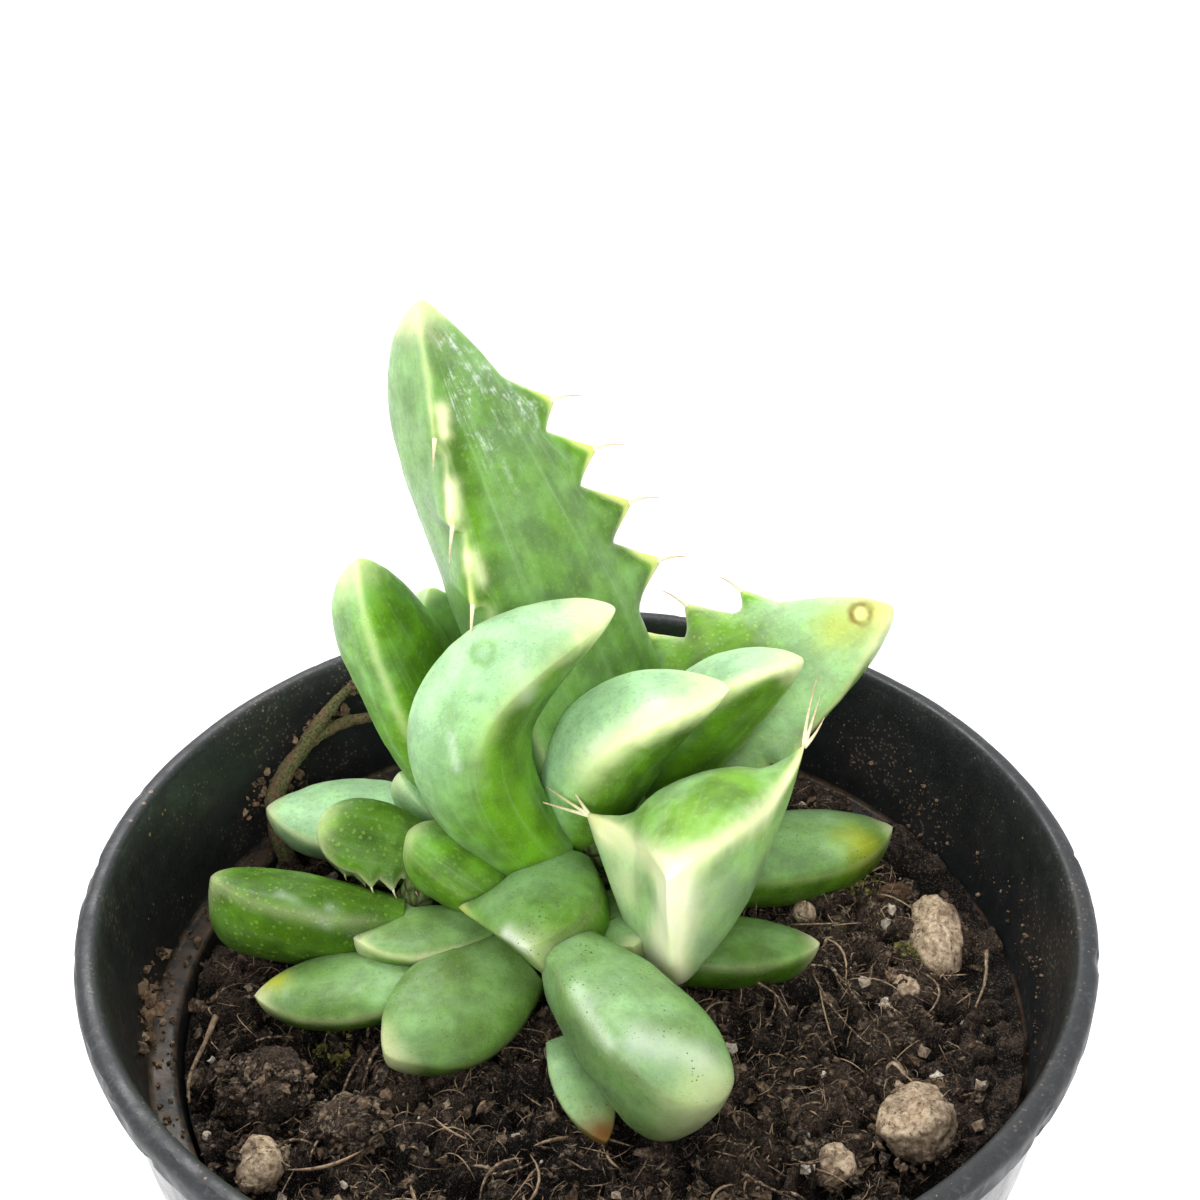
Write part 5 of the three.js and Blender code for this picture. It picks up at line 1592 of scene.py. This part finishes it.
def make_stage(settings):
    """A pale floor, white surroundings, a key light above and behind, a soft fill light in front, and
    the camera."""
    mesh = bpy.data.meshes.new("floor")
    corners = [(-1, -1), (1, -1), (1, 1), (-1, 1)]
    mesh.from_pydata([(x * FLOOR_REACH, y * FLOOR_REACH, -FLOOR_DROP) for x, y in corners], [], [range(4)])
    floor = bpy.data.objects.new("floor", mesh)
    bpy.context.scene.collection.objects.link(floor)
    f = Finish("floor")
    base = f.blend(f.noise(0.02, 3), 0.3, 0.7, FLOOR_WHITE)
    mesh.materials.append(f.wear(base_color=base, roughness=0.9))

    world = bpy.data.worlds.new("studio")
    world.use_nodes = True
    sky = world.node_tree.nodes["Background"]
    sky.inputs["Color"].default_value = (1, 1, 1, 1)
    sky.inputs["Strength"].default_value = settings.sky
    bpy.context.scene.world = world

    add_light("key", settings.key, KEY_SIZE, KEY_PLACE)
    add_light("fill", settings.fill, FILL_SIZE, FILL_PLACE)
    bpy.context.scene.view_settings.view_transform = "Standard"

    camera = bpy.data.objects.new("camera", bpy.data.cameras.new("camera"))
    bpy.context.scene.collection.objects.link(camera)
    camera.data.lens = settings.lens
    camera.data.sensor_width = CAMERA_SENSOR
    camera.data.clip_start = 0.004
    camera.location = [c * MM for c in CAMERA_PLACE]
    camera.rotation_euler = (math.radians(90 - CAMERA_PITCH), 0, 0)
    bpy.context.scene.camera = camera


def add_light(name, power, size, place):
    """A soft square light at a place, turned to the lit point."""
    lamp = bpy.data.lights.new(name, "AREA")
    lamp.energy = power
    lamp.size = size
    light = bpy.data.objects.new(name, lamp)
    light.location = place
    x, y, z = np.array(LIT_POINT) - np.array(place)
    light.rotation_euler = (math.atan2(math.hypot(x, y), -z), 0, math.atan2(-x, y))
    bpy.context.scene.collection.objects.link(light)


# Operators

class JAWS_OT_stage(Operator):
    """Makes the floor, the light and the camera"""
    bl_idname = "tiger_jaws.stage"
    bl_label = "Stage"

    def execute(self, context):
        make_stage(context.scene.jaws_stage)
        return {"FINISHED"}


class JAWS_OT_pot(Operator):
    """Makes the pot"""
    bl_idname = "tiger_jaws.pot"
    bl_label = "Pot"

    def execute(self, context):
        make_pot(context.scene.jaws_pot)
        return {"FINISHED"}


class JAWS_OT_soil(Operator):
    """Makes the soil, its loose crumbs and its fibres"""
    bl_idname = "tiger_jaws.soil"
    bl_label = "Soil"

    def execute(self, context):
        settings = context.scene.jaws_soil
        make_soil(settings)
        make_crumbs(settings)
        make_fibres(settings)
        return {"FINISHED"}


class JAWS_OT_grains(Operator):
    """Makes the perlite, pebbles, bark chip and clods"""
    bl_idname = "tiger_jaws.grains"
    bl_label = "Grains"

    def execute(self, context):
        finishes = {
            "perlite": perlite_finish(),
            "bark": bark_finish(),
            "potting_soil": peat_finish("clod", context.scene.jaws_soil, 0.1),
        }
        for name, (place, half, turn, slot) in GRAINS.items():
            make_grain(name, place, half, turn, finishes[slot], slot)
        return {"FINISHED"}


class JAWS_OT_mossy_root(Operator):
    """Makes the mossy root at the wall"""
    bl_idname = "tiger_jaws.mossy_root"
    bl_label = "Mossy root"

    def execute(self, context):
        make_mossy_root()
        return {"FINISHED"}


class JAWS_OT_stems(Operator):
    """Makes the two stems"""
    bl_idname = "tiger_jaws.stems"
    bl_label = "Stems"

    def execute(self, context):
        for name, stem in STEMS.items():
            make_stem(name, **stem)
        return {"FINISHED"}


class JAWS_OT_leaves(Operator):
    """Makes every leaf"""
    bl_idname = "tiger_jaws.leaves"
    bl_label = "Leaves"

    def execute(self, context):
        finish = leaf_finish(context.scene.jaws_leaf)
        for seed, (name, spec) in enumerate(LEAVES.items()):
            make_leaf(name, {**LEAF, **spec}, LEAF_SEED + 7 * seed, finish)
        return {"FINISHED"}


class JAWS_OT_bristles(Operator):
    """Makes the bristles on the teeth"""
    bl_idname = "tiger_jaws.bristles"
    bl_label = "Bristles"

    def execute(self, context):
        make_bristles(context.scene.jaws_leaf)
        return {"FINISHED"}


OPERATORS = (
    JAWS_OT_stage, JAWS_OT_pot, JAWS_OT_soil, JAWS_OT_grains, JAWS_OT_mossy_root, JAWS_OT_stems,
    JAWS_OT_leaves, JAWS_OT_bristles,
)
SETTINGS = {
    "jaws_pot": PotSettings,
    "jaws_soil": SoilSettings,
    "jaws_leaf": LeafSettings,
    "jaws_stage": StageSettings,
}


class JAWS_PT_panel(Panel):
    """Lists the pieces and their settings"""
    bl_idname = "JAWS_PT_panel"
    bl_label = "Potted tiger jaws"
    bl_space_type = "VIEW_3D"
    bl_region_type = "UI"
    bl_category = "Tiger Jaws"

    def draw(self, context):
        for key, group in SETTINGS.items():
            box = self.layout.box()
            for name in group.__annotations__:
                box.prop(getattr(context.scene, key), name)
        for operator in OPERATORS:
            self.layout.operator(operator.bl_idname)


def register():
    """Registers the settings, the operators and the panel."""
    for kind in (*SETTINGS.values(), *OPERATORS, JAWS_PT_panel):
        bpy.utils.register_class(kind)
    for key, group in SETTINGS.items():
        setattr(bpy.types.Scene, key, PointerProperty(type=group))


def unregister():
    """Takes everything that register added away again."""
    for key in SETTINGS:
        delattr(bpy.types.Scene, key)
    for kind in reversed((*SETTINGS.values(), *OPERATORS, JAWS_PT_panel)):
        bpy.utils.unregister_class(kind)


def main():
    """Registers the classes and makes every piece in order."""
    register()
    bpy.ops.tiger_jaws.stage()
    bpy.ops.tiger_jaws.pot()
    bpy.ops.tiger_jaws.soil()
    bpy.ops.tiger_jaws.grains()
    bpy.ops.tiger_jaws.mossy_root()
    bpy.ops.tiger_jaws.stems()
    bpy.ops.tiger_jaws.leaves()
    bpy.ops.tiger_jaws.bristles()


if __name__ == "__main__":
    main()
